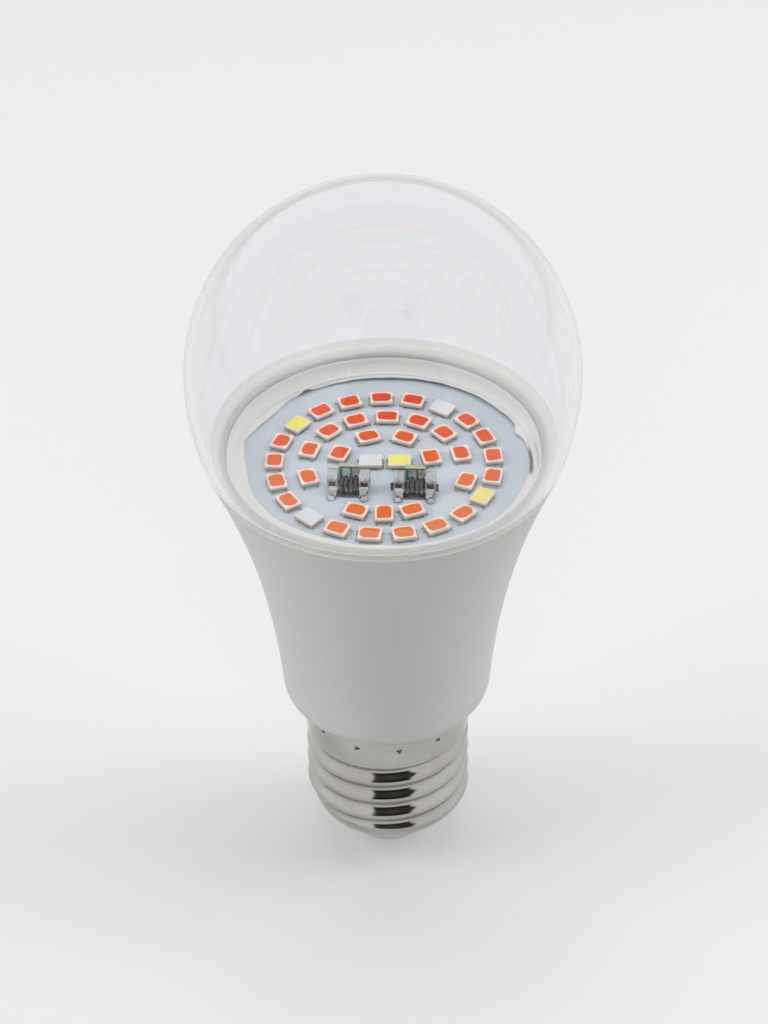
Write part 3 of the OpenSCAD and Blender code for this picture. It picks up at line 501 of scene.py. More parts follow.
# %% [markdown]
# ## Lamps shine through the ball
#
# A renderer asks for each lit point whether anything hides a lamp from it, and glass and
# clear plastic hide it just as steel does. The board would lie in the dark. Thin clear
# plastic hardly weakens light, so those questions are answered with a transparent shader,
# and all other rays meet the real one.

# %% Let the lamps' light through


def let_lamp_light_through(material, tint):
    """A mix of two shaders by the kind of ray: rays that ask whether a lamp is hidden pass
    straight on, with a little loss at each surface."""
    tree = material.node_tree
    output = next(n for n in tree.nodes if n.type == "OUTPUT_MATERIAL")
    shadow_ray = node_outputs(tree, "LightPath", {})["Is Shadow Ray"]
    clear = node_outputs(tree, "BsdfTransparent", {"Color": (tint, tint, tint, 1)})["BSDF"]
    plain = tree.nodes["Principled BSDF"].outputs["BSDF"]
    both = node_outputs(tree, "MixShader", {"Fac": shadow_ray, 1: plain, 2: clear})["Shader"]
    tree.links.new(both, output.inputs["Surface"])


let_lamp_light_through(finishes["clear_ball"], 0.97)
let_lamp_light_through(finishes["hazy_rim"], 0.8)
print("lamps shine through:", "clear_ball", "hazy_rim")

# %% [markdown]
# ## The clear ball
#
# The ball is blown from clear plastic: half a sphere above its widest line, and below it
# an arc of a larger circle that draws in to the seam. Its wall is 1.2 mm, and it ends in
# a thick rim with a tongue that sits in the housing's groove. A sphere primitive would
# have neither wall nor rim, and clear plastic needs both, because light bends at each
# surface. So the outer and the inner line are joined into one closed profile, and that
# is turned round the axis. The rim is where the mould's halves met, so it is frosted, and
# its faces have a hazy finish of their own.

# %% Turn the ball
BALL_R, WALL, SIDE_R, SEAM_Z = 30.0, 1.2, 40.0, 75.5
SIDE_SHIFT = SIDE_R - BALL_R
RIM_IN, TONGUE, TONGUE_DEEP, RIM_RISE = 24.58, 1.0, 1.7, 1.1


def side_radius(z, arc_r=SIDE_R):
    """Radius of the ball's lower side at a height: a circle whose middle lies past the axis."""
    return np.sqrt(arc_r ** 2 - (z - BALL_MIDDLE[2]) ** 2) - SIDE_SHIFT


SEAM_R = float(side_radius(SEAM_Z))


def ball_profile():
    """Outer line from the top to the seam, the rim and its tongue, and the inner line back."""
    edge_z, out_z, in_z = SEAM_Z + 0.1, SEAM_Z + 0.35, SEAM_Z + 1.5
    z_out = np.linspace(BALL_MIDDLE[2], out_z, 24)[1:]
    z_in = np.linspace(in_z, BALL_MIDDLE[2], 22)[:-1]
    rim_z, in_side = SEAM_Z + RIM_RISE, SIDE_R - WALL
    rim = rounded([(SEAM_R + 0.14, out_z, 0), (SEAM_R + 0.02, edge_z, 0.12), (RIM_IN + TONGUE, edge_z, 0.1),
                   (RIM_IN + TONGUE, SEAM_Z - TONGUE_DEEP, 0.2), (RIM_IN, SEAM_Z - TONGUE_DEEP, 0.2),
                   (RIM_IN, rim_z, 0.35), (float(side_radius(rim_z, in_side)), rim_z, 0.3),
                   (float(side_radius(in_z, in_side)), in_z, 0)])[1:-1]
    return np.concatenate([
        arc((0, BALL_MIDDLE[2]), BALL_R, 90, 0, 49),
        np.stack([side_radius(z_out), z_out], -1),
        rim,
        np.stack([side_radius(z_in, in_side), z_in], -1),
        arc((0, BALL_MIDDLE[2]), BALL_R - WALL, 0, 90, 49)])


ball_points, ball_faces = turned(ball_profile(), 256)
hazy = ball_points[ball_faces][:, :, 2].mean(1) < SEAM_Z + 1.3
add_piece("clear_ball", ball_points, ball_faces, "clear_ball", "dome_clear", ["diffuser_dome"],
          second=("hazy_rim", hazy))

# %% [markdown]
# ## The white housing
#
# The housing is one moulding. Its side runs in one long curve from the seam to a narrow
# waist, and a rounded foot turns in to the cap. A Bezier curve with its two ends' slopes
# gives that line with four points. Inside, the profile follows the wall back up, with
# the steps that hold the cup, the board and the ball's tongue, and a spigot goes down
# into the cap.

# %% Turn the housing
SHOULDER_Z, FOOT_R, WAIST_R = 28.5, 3.2, 16.5
FLARE, LEAN = math.radians(24), math.radians(4.75)
SIDE_H = SEAM_Z - SHOULDER_Z - FOOT_R
WAIST_Z = SHOULDER_Z + FOOT_R * (1 - math.sin(LEAN))
TOP_PULL, LOW_PULL = 0.345 * SIDE_H, 0.37 * SIDE_H
SIDE = np.array([
    [SEAM_R, SEAM_Z],
    [SEAM_R - TOP_PULL * math.sin(FLARE), SEAM_Z - TOP_PULL * math.cos(FLARE)],
    [WAIST_R + LOW_PULL * math.sin(LEAN), WAIST_Z + LOW_PULL * math.cos(LEAN)],
    [WAIST_R, WAIST_Z]])
FOOT_MIDDLE = SIDE[3] - FOOT_R * np.array([math.cos(LEAN), -math.sin(LEAN)])
HOUSING_WALL, SIDE_TOP_Z = 1.3, 70.0
GROOVE_R, GROOVE_Z, CUP_SEAT_R, CUP_SEAT_Z = 25.68, 73.6, 24.2, 70.1
SPIGOT_R, SPIGOT_LOW_R, SPIGOT_IN = 12.65, 11.85, 10.25
SPIGOT_STEP_Z, SPIGOT_END_Z, HOUSING_FLOOR_Z = 22.6, 8.24, 29.8


def side_line(inset, steps=60):
    """The housing's side from the seam down to its foot, moved in by a wall: points of the
    Bezier curve, each shifted along the curve's own normal, and then the foot's arc."""
    t = np.linspace(0, 1, steps)[:, None]
    u, (seam, top, low, waist) = 1 - t, SIDE
    point = u ** 3 * seam + 3 * u ** 2 * t * top + 3 * u * t ** 2 * low + t ** 3 * waist
    run = 3 * u ** 2 * (top - seam) + 6 * u * t * (low - top) + 3 * t ** 2 * (waist - low)
    out = np.stack([-run[:, 1], run[:, 0]], -1) / np.linalg.norm(run, axis=1)[:, None]
    foot = arc(FOOT_MIDDLE, FOOT_R - inset, -math.degrees(LEAN), -90, 14)[1:]
    return np.concatenate([point - inset * out, foot])


def housing_profile():
    """Outer side downwards, the spigot, and the inner side with its steps back up."""
    outer = side_line(0.0)
    inner = side_line(HOUSING_WALL)
    inner = inner[inner[:, 1] < SIDE_TOP_Z][::-1]
    seam = rounded([(outer[3][0], outer[3][1], 0), (SEAM_R, SEAM_Z, 0.3), (GROOVE_R, SEAM_Z, 0.1),
                    (GROOVE_R, GROOVE_Z, 0.1), (CUP_SEAT_R, GROOVE_Z, 0.1), (CUP_SEAT_R, CUP_SEAT_Z, 0.1),
                    (inner[-1][0], CUP_SEAT_Z, 0)])[::-1]
    spigot = rounded([(outer[-1][0], SHOULDER_Z, 0), (SPIGOT_R, SHOULDER_Z, 0.15),
                      (SPIGOT_R, SPIGOT_STEP_Z, 0.3), (SPIGOT_LOW_R, SPIGOT_STEP_Z, 0.1),
                      (SPIGOT_LOW_R, SPIGOT_END_Z, 0.3), (SPIGOT_IN, SPIGOT_END_Z, 0.3),
                      (SPIGOT_IN, HOUSING_FLOOR_Z, 0.4), (inner[0][0], HOUSING_FLOOR_Z, 0)])
    return np.concatenate([outer[4:-1], spigot, inner, seam[:-1]])


add_piece("white_housing", *turned(housing_profile(), 256), "satin_white", "housing_white",
          ["outer_housing"])
print("housing at its waist, mm:", round(2 * WAIST_R, 2), "at the seam:", round(2 * SEAM_R, 2))

# %% [markdown]
# ## The screw cap
#
# The cap is thin plated sheet, rolled to a round right-hand thread of 3.63 mm a turn and
# pressed into the housing at twelve places. Its radius is one formula of the angle and
# the height: a cosine that climbs one pitch a turn, faded into a plain band at the top
# and into a curved lower end. The columns stand closer together where the pressings are,
# because a pressing is only 0.7 mm wide. A screw modifier could sweep a wave, but it
# can't fade the thread out or carry the pressings.

# %% Work out the cap
CREST_R, ROOT_R, PITCH, CAP_TOP, LIP_Z, LIP_R = 13.05, 12.25, 3.63, 28.4, 4.6, 9.35
THREAD_LOW, THREAD_HIGH, FADE = LIP_Z + 4.2, CAP_TOP - 7.1, 1.3
ROOT_Z, FRONT = CAP_TOP - 7.7, -90.0
PRESS_Z, PRESS_START, PRESS_DEEP, SHEET = CAP_TOP - 2.8, FRONT + 8, 0.5, 0.3
PRESS_HALF_W, PRESS_HALF_H, NEAR_PRESS = 0.36, 0.27, 2.4
END_R = ROOT_R + 0.3


def ease(t):
    """A smooth step from 0 to 1."""
    t = np.clip(t, 0, 1)
    return t * t * (3 - 2 * t)


def ridge(angle, z):
    """The thread's ridge, 0 at the root and 1 at the crest: a cosine that climbs a pitch a
    turn."""
    return 0.5 - 0.5 * np.cos(2 * np.pi * (z - ROOT_Z) / PITCH - np.radians(angle - FRONT))


def cap_radius(angle, z):
    """Above the thread, its roots fill up into the plain band. Below it, a curve between a
    straight cone and a quarter circle leads in to the lip: the two legs' powers of 1.5 add
    up to one. Where the two meet, that end takes on the thread's radius."""
    fill = ease((z - THREAD_HIGH) / FADE)
    high = ridge(angle, z)
    thread = ROOT_R + (CREST_R - ROOT_R) * (high + (1 - high) * fill)
    s = np.clip((THREAD_LOW - z) / (THREAD_LOW - LIP_Z), 0, 1)
    end = LIP_R + (END_R - LIP_R) * (1 - s ** 1.5) ** (1 / 1.5)
    meet = ROOT_R + (CREST_R - ROOT_R) * ridge(angle, THREAD_LOW) - END_R
    return np.where(z >= THREAD_LOW, thread, end + meet * ease((z - LIP_Z) / (THREAD_LOW - LIP_Z)))


def pressing(angle, z):
    """Depth of the pressings, 0 to 1: a round dent with steep sides at every 30 degrees."""
    off = (angle - PRESS_START + 15) % 30 - 15
    across = np.radians(off) * CREST_R
    return np.exp(-((across / PRESS_HALF_W) ** 2 + ((z - PRESS_Z) / PRESS_HALF_H) ** 2) ** 1.6)


def cap_grid():
    """Outer and inner sheet on one grid, joined at the top edge and at the lip."""
    columns = np.concatenate([np.linspace(-NEAR_PRESS, NEAR_PRESS, 17),
                              np.linspace(NEAR_PRESS, 30 - NEAR_PRESS, 12)[1:-1]])
    angle = (PRESS_START + 30 * np.arange(12)[:, None] + columns[None]).ravel()
    z = np.concatenate([LIP_Z + (THREAD_LOW - LIP_Z) * np.sin(np.linspace(0, np.pi / 2, 14)),
                        np.arange(THREAD_LOW, PRESS_Z - 0.7, PITCH / 22)[1:],
                        np.linspace(PRESS_Z - 0.6, PRESS_Z + 0.6, 25), [PRESS_Z + 1.1],
                        CAP_TOP - np.array([1.0, 0.4, 0.12, 0.03])])
    a, z = np.meshgrid(angle, z, indexing="xy")
    dent = pressing(a, z)
    outer = cap_radius(a, z) - PRESS_DEEP * dent
    outer[-2:] -= np.array([[0.02], [0.1]])
    inner = outer - SHEET * (1 + 0.5 * ease((THREAD_LOW - z) / (THREAD_LOW - LIP_Z)))
    lip = outer[:1] - 0.2
    r = np.concatenate([lip, outer, inner[::-1]])
    zz = np.concatenate([z[:1] - 0.12, z, z[::-1]])
    aa = np.radians(np.concatenate([a[:1], a, a[::-1]]))
    # Painted shade in the pressings: the outer sheet is darkened by the dent's depth, and the inner one not
    # at all.
    dark = np.concatenate([dent[:1], dent, dent[::-1] * 0])
    points = round_axis(r, aa, zz)
    faces = grid_faces(*points.shape[:2], close_rows=True, close_columns=True)
    return points.reshape(-1, 3), faces, np.clip(dark.ravel() ** 2 * 1.2, 0, 1)


cap_points, cap_faces, cap_painted_shade = cap_grid()
add_piece("rolled_cap", cap_points, cap_faces, "plated_sheet", "cap_nickel", ["screw_cap"], sharp=60,
          shade=cap_painted_shade)

# %% [markdown]
# ## Below the cap
#
# A moulded insulator fills the cap's lower end, and the round contact sits in its middle.
# Both are turned, with every edge blended, because it is the small bright line on an edge
# that tells the eye how large a piece is.

# %% Turn the insulator and the contact
STEM_R, STEM_TOP_Z, CONTACT_R, CONTACT_T = 1.6, 9.2, 5.9, 1.4
LIP_IN = LIP_R - 1.5 * SHEET - 0.1
insulator_profile = rounded([
    (STEM_R + 0.1, CONTACT_T + 0.04, 0.02), (CONTACT_R + 0.6, CONTACT_T + 0.04, 0.25),
    (7.3, 2.75, 1.2), (LIP_IN - 0.1, LIP_Z - 0.3, 0.15), (LIP_IN, LIP_Z + 0.3, 0.1),
    (10.2, 6.6, 0.3), (10.9, 7.5, 0.3), (10.9, 8.2, 0.1), (STEM_R + 0.1, 8.2, 0.05)])
add_piece("insulator", *turned(insulator_profile, 192), "cap_insulator", "insulator", ["cap_insulator"])
contact_profile = np.concatenate([
    [[0, 0.0]], rounded([(5.2, 0.0, 0), (5.75, 0.02, 0.15), (CONTACT_R, 0.3, 0.15),
                         (CONTACT_R, CONTACT_T, 0.12), (STEM_R, CONTACT_T, 0.1),
                         (STEM_R, STEM_TOP_Z, 0.15), (0, STEM_TOP_Z, 0)])])
add_piece("contact", *turned(contact_profile, 128), "contact_metal", "contact_metal", ["centre_contact"])

# %% [markdown]
# ## The sealing bead
#
# White sealant runs round the board's edge and up to the ball's rim. It was laid by hand:
# its inner edge wanders, with a straight cut at the back left and a flap at the right, and
# at the back it doesn't quite touch the board, so a dark line shows under it. Beside the
# flap it is torn, and the dark gap round the board shows between its folds. The edge is a
# closed line through a few measured points, smoothed a little, and the surface runs from it
# to the rim at every angle. The underside and the tear carry a dark shade, as little light
# gets there.

# %% Lay the bead
BOARD_Z, CUP_IN, CUP_TOP = 72.2, 23.3, 73.1
LIP_MOST = CUP_IN - 0.35
CUT_R, CUT_ANGLE, CUT_HALF = 22.17, 146.1, 15.4
FLAP_ANGLE, LIFT_ANGLE, TEAR_ANGLE = 20.5, 122.5, 1.5
EDGE = np.array([[-21.3, -0.4], [-21.8, 7.3], [-17.4, 13.9], [-12.8, 20.7], [-6.6, 22.3], [0, 22.7],
                 [6.3, 22.2], [12.1, 20.2], [16.9, 15.6], [21.1, 8.9], [22.0, 6.2], [22.4, 2.5],
                 [21.9, -3.8], [17.3, -12.4], [9.8, -17.4], [0, -19.05], [-8.2, -17.4],
                 [-14.3, -14.2], [-19.6, -7.9]])
SLOPE = [(0.0, 0.0), (-0.02, 0.1), (0.0, 0.22), (0.04, 0.3), (0.14, 0.36), (0.3, 0.46), (0.46, 0.64),
         (0.62, 0.95), (0.76, 1.4), (0.88, 1.95), (0.96, 2.5)]
TEAR_DARK = [1, 1, 1, 1, 0.95, 0.9, 0.75, 0.35]


def around(values, angle, at):
    """A value by angle, on straight lines between its points, round the full circle."""
    order = np.argsort(at)
    at, values = at[order], values[order]
    at = np.concatenate([at[-2:] - 360, at, at[:2] + 360])
    values = np.concatenate([values[-2:], values, values[:2]])
    return np.interp(angle % 360, at, values)


def ripple(angle, seed, size, waves=(7, 11, 17, 29, 41)):
    """A small sum of sines with fixed phases, for edges that were made by hand."""
    phase = np.random.default_rng(seed).uniform(0, 2 * np.pi, len(waves))
    return size * sum(np.sin(w * np.radians(angle) + p) / (1 + 0.08 * w) for w, p in zip(waves, phase))


def near(angle, middle, width):
    """A bell of height 1 round an angle."""
    off = (angle - middle + 180) % 360 - 180
    return np.exp(-(off / width) ** 2)


def bead_grid(steps=720):
    """At each angle: the lower face, a rounded inner lip, a hollow slope up to the rim, and
    back down outside over the cup's lip. SLOPE gives, row by row, how far along the way from
    the lip to the rim it is, and how high."""
    a = np.arange(steps) * 360 / steps
    at = np.degrees(np.arctan2(EDGE[:, 1], EDGE[:, 0])) % 360
    lip = around(np.hypot(EDGE[:, 0], EDGE[:, 1]), a, at)
    cut = CUT_R / np.cos(np.radians(a - CUT_ANGLE))
    lip = np.minimum(np.where(np.abs(a - CUT_ANGLE) < CUT_HALF, cut, lip), LIP_MOST)
    lip = np.convolve(np.tile(lip, 3), np.ones(9) / 9, "same")[steps:2 * steps]
    lip = np.minimum(lip - 0.75 * near(a, FLAP_ANGLE, 3.2), LIP_MOST) + ripple(a, 4, 0.05)
    back, side = np.sin(np.radians(a)), np.cos(np.radians(a + 12))
    lift = 0.36 * ease((back - 0.1) * 2.2) * ease((side + 0.75) * 2)
    lift = lift + np.abs(ripple(a, 9, 0.06)) + 0.7 * near(a, LIFT_ANGLE, 2.6)
    tear = ease(2.1 * near(a, TEAR_ANGLE, 8.5) - 0.3 + ripple(a, 12, 0.35, (23, 37, 61, 83)))
    fold = tear * ripple(a, 31, 0.25, (37, 53, 71, 97))
    lip = lip + 0.25 * tear
    base, low, cup = BOARD_Z + 0.05, CUP_TOP + 0.05, CUP_IN - 0.1
    top_in, top_z = RIM_IN - 0.12, SEAM_Z - 0.05
    rows = []
    for share, rise in SLOPE:
        rise = rise * (top_z - BOARD_Z) / 3.3 * (1 - 0.5 * tear * (share < 0.7)) + fold * (share < 0.5)
        rows.append((lip + share * (top_in - lip), base + lift * (1 - share) + rise))
    rows += [(top_in - 0.1, top_z - 0.12), (top_in, top_z), (top_in + 0.03, low), (cup, low), (cup, base),
             (np.minimum(lip + 1.1, CUP_IN - 0.2), base),
             (np.minimum(lip + 0.9, CUP_IN - 0.25), base + 0.9 * lift)]
    r, z = (np.array([np.broadcast_to(row[k], steps) for row in rows]) for k in (0, 1))
    points = round_axis(r, np.radians(a), z)
    faces = grid_faces(len(rows), steps, close_rows=True, close_columns=True)
    dark = np.zeros(r.shape)
    dark[0] = dark[-2:] = 0.9
    dark[1:9] = tear * np.array(TEAR_DARK)[:, None]
    return points.reshape(-1, 3), faces[:, ::-1], dark.ravel()


bead_points, bead_faces, bead_dark = bead_grid()
add_piece("bead", bead_points, bead_faces, "sealant", "sealant", ["sealing_bead"], sharp=50,
          shade=bead_dark)

# %% [markdown]
# ## The lights
#
# Thirty-nine surface lights sit on the board in a ring, a middle row, an inner arc and a
# pair. A light is a moulded frame of 3.5 by 2.8 mm with a sunk window, a gel that fills the
# window, and a solder pad under each short end. Every part is a stack of rounded
# rectangles, laid one above the other, so one formula makes them all. Each light gets its
# own small warp from a fixed seed, as no two gels fill alike. The frame's side is painted
# darker towards its foot, as painted shade where it meets the board. The gels differ a
# little in colour at random, and are painted paler towards the front, a painted stand-in
# for the ball's whitish veil over them. The shade attribute carries the painted shade, the
# gels' colour and the painted veil. Small dark beads of flux lie beside the pads, and a
# thin dark line of painted shade lies under each long side of the frame.

# %% Where the lights stand
RING_R, RING_COUNT, RING_START, MIDDLE_R, INNER_R = 17.0, 21, 91.0, 12.1, 7.4
BLUE_PLACES, WHITE_PLACES = (2, 13), (7, 18)
MIDDLE_ROW = [(a, 0, 90) for a in (-165, 162, 135, 111, 87, 63, 39, 11)]
MIDDLE_ROW += [(-20, 1.2, 90), (-70, 0, 90), (-90.5, 0, 0), (-111, 0, 90)]


def on_circle(angle, r, turn):
    """A light's middle on a circle, and how far its long side is turned."""
    return (r * math.cos(math.radians(angle)), r * math.sin(math.radians(angle)), turn)


ring_angles = [RING_START - k * 360 / RING_COUNT for k in range(RING_COUNT)]
ring = [on_circle(a, RING_R, a + 90) for a in ring_angles]
spots = {
    "blue": [ring[k] for k in BLUE_PLACES] + [(-2.1, 0.7, 0)],
    "white": [ring[k] for k in WHITE_PLACES] + [(2.4, 0.6, 0)],
    "red": [s for k, s in enumerate(ring) if k not in BLUE_PLACES + WHITE_PLACES]
    + [on_circle(a, MIDDLE_R + step, a + turn) for a, step, turn in MIDDLE_ROW]
    + [on_circle(a, INNER_R, a + 90) for a in (12, 64, 109, 158)]}
print("lights:", {kind: len(places) for kind, places in spots.items()})

# %% Stacks of rounded rectangles


def rounded_loops(rows, count=32):
    """Loops of a rounded rectangle, one for each (half length, half width, corner, z): a
    point goes round a circle of the corner's size, and its middle sits in the corner."""
    a = (np.arange(count) + 0.5) * 2 * np.pi / count
    cx, cy = np.sign(np.cos(a)), np.sign(np.sin(a))
    rows = np.asarray(rows, float)
    hl, hw, corner, z = (rows[:, k:k + 1] for k in range(4))
    return np.stack([cx * (hl - corner) + corner * np.cos(a), cy * (hw - corner) + corner * np.sin(a),
                     z + 0 * a], -1)


def closed_stack(loops):
    """A solid from loops: walls between neighbours, and a point in the middle of the first
    and of the last loop to close them."""
    rows, count = loops.shape[:2]
    first = np.broadcast_to(loops[0].mean(0), (1, count, 3))
    last = np.broadcast_to(loops[-1].mean(0), (1, count, 3))
    points = np.concatenate([first, loops, last])
    return points.reshape(-1, 3), grid_faces(rows + 2, count, close_columns=True)


def placed_at(points, spot):
    """Points turned about the vertical and moved to a light's place."""
    x, y, turn = spot
    c, s = math.cos(math.radians(turn)), math.sin(math.radians(turn))
    return points @ np.array([[c, s, 0], [-s, c, 0], [0, 0, 1]]) + np.array([x, y, 0])


def stack_at(rows, count, place, side):
    """A stack of rounded rectangles, moved to a place and turned about the light's middle."""
    points, faces = closed_stack(rounded_loops(rows, count))
    return placed_at(points + place, (0, 0, side)), faces


def mound(size, low, steps):
    """Rows of a round mound. A step gives its half length and its corner as shares of the
    size, and its height above low."""
    return [(size * half, size * half, size * corner, low + rise) for half, corner, rise in steps]


# %% The frame and the gel
LIGHT_L, LIGHT_W, LIGHT_H, FRAME_Z = 3.5, 2.8, 0.7, 72.43
FRAME_TOP, WINDOW_FLOOR = FRAME_Z + LIGHT_H, FRAME_Z + 0.3


def window_wave(size, chance, count=32):
    """How far the window's outline is pushed in or out at each point: three slow waves."""
    a = np.linspace(0, 2 * np.pi, count, endpoint=False)
    return 1 - size + size * sum(np.sin(k * a + chance.uniform(0, 6)) / k ** 0.3 for k in (2, 3, 5))


def frame_loops(edge, corner, wave):
    """The frame: foot, side, blended top edge, and the window's wall down to its floor."""
    l, w = LIGHT_L / 2, LIGHT_W / 2
    outer = rounded_loops([
        (l - 0.04, w - 0.04, 0.12, FRAME_Z), (l, w, 0.12, FRAME_Z + 0.06), (l, w, 0.12, FRAME_TOP - 0.09),
        (l - 0.03, w - 0.03, 0.13, FRAME_TOP - 0.02), (l - 0.08, w - 0.08, 0.14, FRAME_TOP)])
    l, w = l - edge, w - edge
    inner = rounded_loops([
        (l + 0.04, w + 0.04, corner + 0.04, FRAME_TOP), (l, w, corner, FRAME_TOP - 0.03),
        (l - 0.12, w - 0.12, corner - 0.06, WINDOW_FLOOR)])
    inner[:, :, :2] *= wave[None, :, None]
    return np.concatenate([outer, inner])


def gel_loops(edge, corner, wave, chance):
    """The gel: it starts under the window's edge, wets its wall and sags or bulges a little
    in the middle. It follows the window's waves."""
    l, w, top = LIGHT_L / 2 - edge, LIGHT_W / 2 - edge, FRAME_TOP - 0.035
    bulge = chance.uniform(-0.02, 0.05)
    rows = [(l - 0.1, w - 0.1, corner - 0.06, WINDOW_FLOOR + 0.04),
            (l - 0.03, w - 0.03, corner - 0.02, top - 0.1), (l + 0.01, w + 0.01, corner, top)]
    rows += [(l * k, w * k, corner * k, top + bulge * (1 - k * k)) for k in (0.86, 0.6, 0.3)]
    loops = rounded_loops(rows)
    loops[:, :, :2] *= wave[None, :, None]
    return loops


# %% Pads, humps of solder and beads of flux
PAD_HALF, PAD_HALF_W, PAD_END = 0.4, LIGHT_W / 2 - 0.32, LIGHT_L / 2 + 0.2
HUMPS, HUMP_STEP = 4, 0.55


def pad_parts(chance):
    """Two solder pads: a flat tinned strip that reaches out past the light's short end, and
    a row of small solder humps on it."""
    parts = []
    for side in (0, 180):
        strip = [(PAD_HALF, PAD_HALF_W, 0.08, BOARD_Z + 0.04), (PAD_HALF, PAD_HALF_W, 0.08, BOARD_Z + 0.12),
                 (PAD_HALF - 0.06, PAD_HALF_W - 0.06, 0.08, BOARD_Z + 0.17)]
        parts.append(stack_at(strip, 16, [PAD_END - PAD_HALF, 0, 0], side))
        for k in range(HUMPS):
            size = chance.uniform(0.17, 0.25)
            y = (k - (HUMPS - 1) / 2) * HUMP_STEP + chance.uniform(-0.05, 0.05)
            hump = mound(size, BOARD_Z + 0.06, [(1, 0.98, 0), (0.92, 0.9, size * 0.6), (0.5, 0.48, size)])
            parts.append(stack_at(hump, 12, [PAD_END - 0.1 + chance.uniform(-0.03, 0.03), y, 0], side))
    return parts


def flux_and_shade_parts(chance):
    """Dark beads of flux at the pads' corners, and a thin dark line under each long side of the
    frame, painted shade where it meets the board: flat rounded loops that shrink upwards."""
    parts = []
    for side in (0, 180):
        for y in (-1.05, 1.05):
            bead = mound(chance.uniform(0.1, 0.17), BOARD_Z,
                         [(1, 0.98, 0.02), (0.8, 0.78, 0.09), (0.4, 0.38, 0.13)])
            place = [LIGHT_L / 2 + 0.16 + chance.uniform(0, 0.16), y + chance.uniform(-0.1, 0.1), 0]
            parts.append(stack_at(bead, 10, place, side))
        line = [(1.25, 0.07, 0.06, BOARD_Z + 0.02), (1.25, 0.07, 0.06, BOARD_Z + 0.2),
                (1.22, 0.04, 0.03, BOARD_Z + 0.23)]
        parts.append(stack_at(line, 8, [chance.uniform(-0.15, 0.15), LIGHT_W / 2 - 0.05, 0], side))
    return parts


# %% Make all the lights
FRAME_EDGE = {"red": 0.24, "white": 0.17, "blue": 0.12}
WINDOW_CORNER = {"red": 0.74, "white": 0.3, "blue": 0.3}
WINDOW_WAVE = {"red": 0.04, "white": 0.008, "blue": 0.006}
GEL = {"red": "red_gel", "white": "yellow_gel", "blue": "clear_gel"}
FOOT_SHADE_POWER, SHADE_LENGTH = 1.2, 36
for kind, places in spots.items():
    chance = np.random.default_rng(len(places) + 5)
    frames, gels, pads, flux_and_shade_marks, shade, foot_shade = [], [], [], [], [], []
    for spot in places:
        corner = WINDOW_CORNER[kind] * chance.uniform(0.8, 1.2)
        wave = window_wave(WINDOW_WAVE[kind], chance)
        points, faces = closed_stack(frame_loops(FRAME_EDGE[kind], corner, wave))
        frames.append((placed_at(points, spot), faces))
        # Painted shade: the frame's side darker towards its foot, where it meets the board.
        foot_shade.append(np.clip(1.1 - (points[:, 2] - FRAME_Z) / LIGHT_H, 0, 1) ** FOOT_SHADE_POWER)
        points, faces = closed_stack(gel_loops(FRAME_EDGE[kind], corner, wave, chance))
        gels.append((placed_at(points, spot), faces))
        # Painted veil: gels paler towards the front, in place of the ball's whitish veil over them, plus a
        # random spread of their real tone.
        front = 0.5 - spot[1] / SHADE_LENGTH
        shade.append(np.full(len(points), np.clip(front + chance.uniform(-0.2, 0.2), 0, 1)))
        pads += [(placed_at(p, spot), f) for p, f in pad_parts(chance)]
        flux_and_shade_marks += [(placed_at(p, spot), f) for p, f in flux_and_shade_parts(chance)]
    add_piece(f"{kind}_frames", *gathered(frames), "light_frame", "light_frame", [f"{kind}_light_frames"],
              sharp=50, shade=np.concatenate(foot_shade))
    add_piece(f"{kind}_gels", *gathered(gels), GEL[kind], f"{kind}_gel", [f"{kind}_light_gels"], sharp=60,
              shade=np.concatenate(shade))
    add_piece(f"{kind}_pads", *gathered(pads), "tinned", "tinned", [f"{kind}_light_pads"], sharp=50)
    add_piece(f"{kind}_flux", *gathered(flux_and_shade_marks), "flux", "tinned", sharp=50)

# %% [markdown]
# ## The two clips
#
# A tongue of the driver's board stands up through each clip, and the clip's springs press
# on its two pads. A clip is one piece of tinned sheet, cut and folded: two side blocks with
# a window each, feet that slope down to the solder, a bar between them, and a comb of thin
# fingers. Each part is a strip bent along a line in y and z, with a rounded rectangle as
# its cross section. The shade attribute darkens what lies deep inside.

# %% A strip bent along a line


def bent_strip(path, half, middle=0.0, thick=0.22, dark=0.0):
    """Loops of a rounded rectangle carried along a line of (y, z) points: its width lies
    along x round the middle, and its thickness along the line's normal. half, middle and
    dark are one number, or two for the line's start and end."""
    path = np.asarray(path, float)
    run = np.gradient(path, axis=0)
    run /= np.linalg.norm(run, axis=1)[:, None]
    normal = np.stack([run[:, 1], -run[:, 0]], -1)
    t = np.linspace(0, 1, len(path))
    half, middle, dark = (np.interp(t, (0, 1), np.broadcast_to(v, 2))[:, None] for v in (half, middle, dark))
    a = (np.arange(12) + 0.5) * np.pi / 6
    corner = thick * 0.3
    across = np.sign(np.cos(a)) * (half - corner) + corner * np.cos(a)
    out = np.sign(np.sin(a)) * (thick / 2 - corner) + corner * np.sin(a)
    y, z = path[:, :1] + out * normal[:, :1], path[:, 1:] + out * normal[:, 1:]
    loops = np.stack([middle + across, y, z], -1)
    points, faces = closed_stack(loops)
    shade = np.broadcast_to(np.concatenate([dark[:1], dark, dark[-1:]]), (len(path) + 2, 12))
    return points, faces, shade.ravel()


def solder_drop(x, y, r, dark=0.0):
    """A drop of solder: circles that shrink upwards as on a slightly flat ball."""
    t = np.radians(np.array([0, 18, 36, 54, 70, 82]))
    loops = rounded_loops([(r * c, r * c, r * c * 0.98, BOARD_Z + 0.04 + 0.85 * r * s)
                           for c, s in zip(np.cos(t), np.sin(t))], 20)
    points, faces = closed_stack(loops + np.array([x, y, 0]))
    return points, faces, np.full(len(points), dark)


# %% One clip from its strips
DRIVER_TURN = -4
CLIP_PLACES = {"left": (-5.41, -4.985, DRIVER_TURN), "right": (4.665, -5.689, DRIVER_TURN)}
BLOCK_X, BLOCK_HALF, CHEEK_X = 2.42, 0.8, 0.74


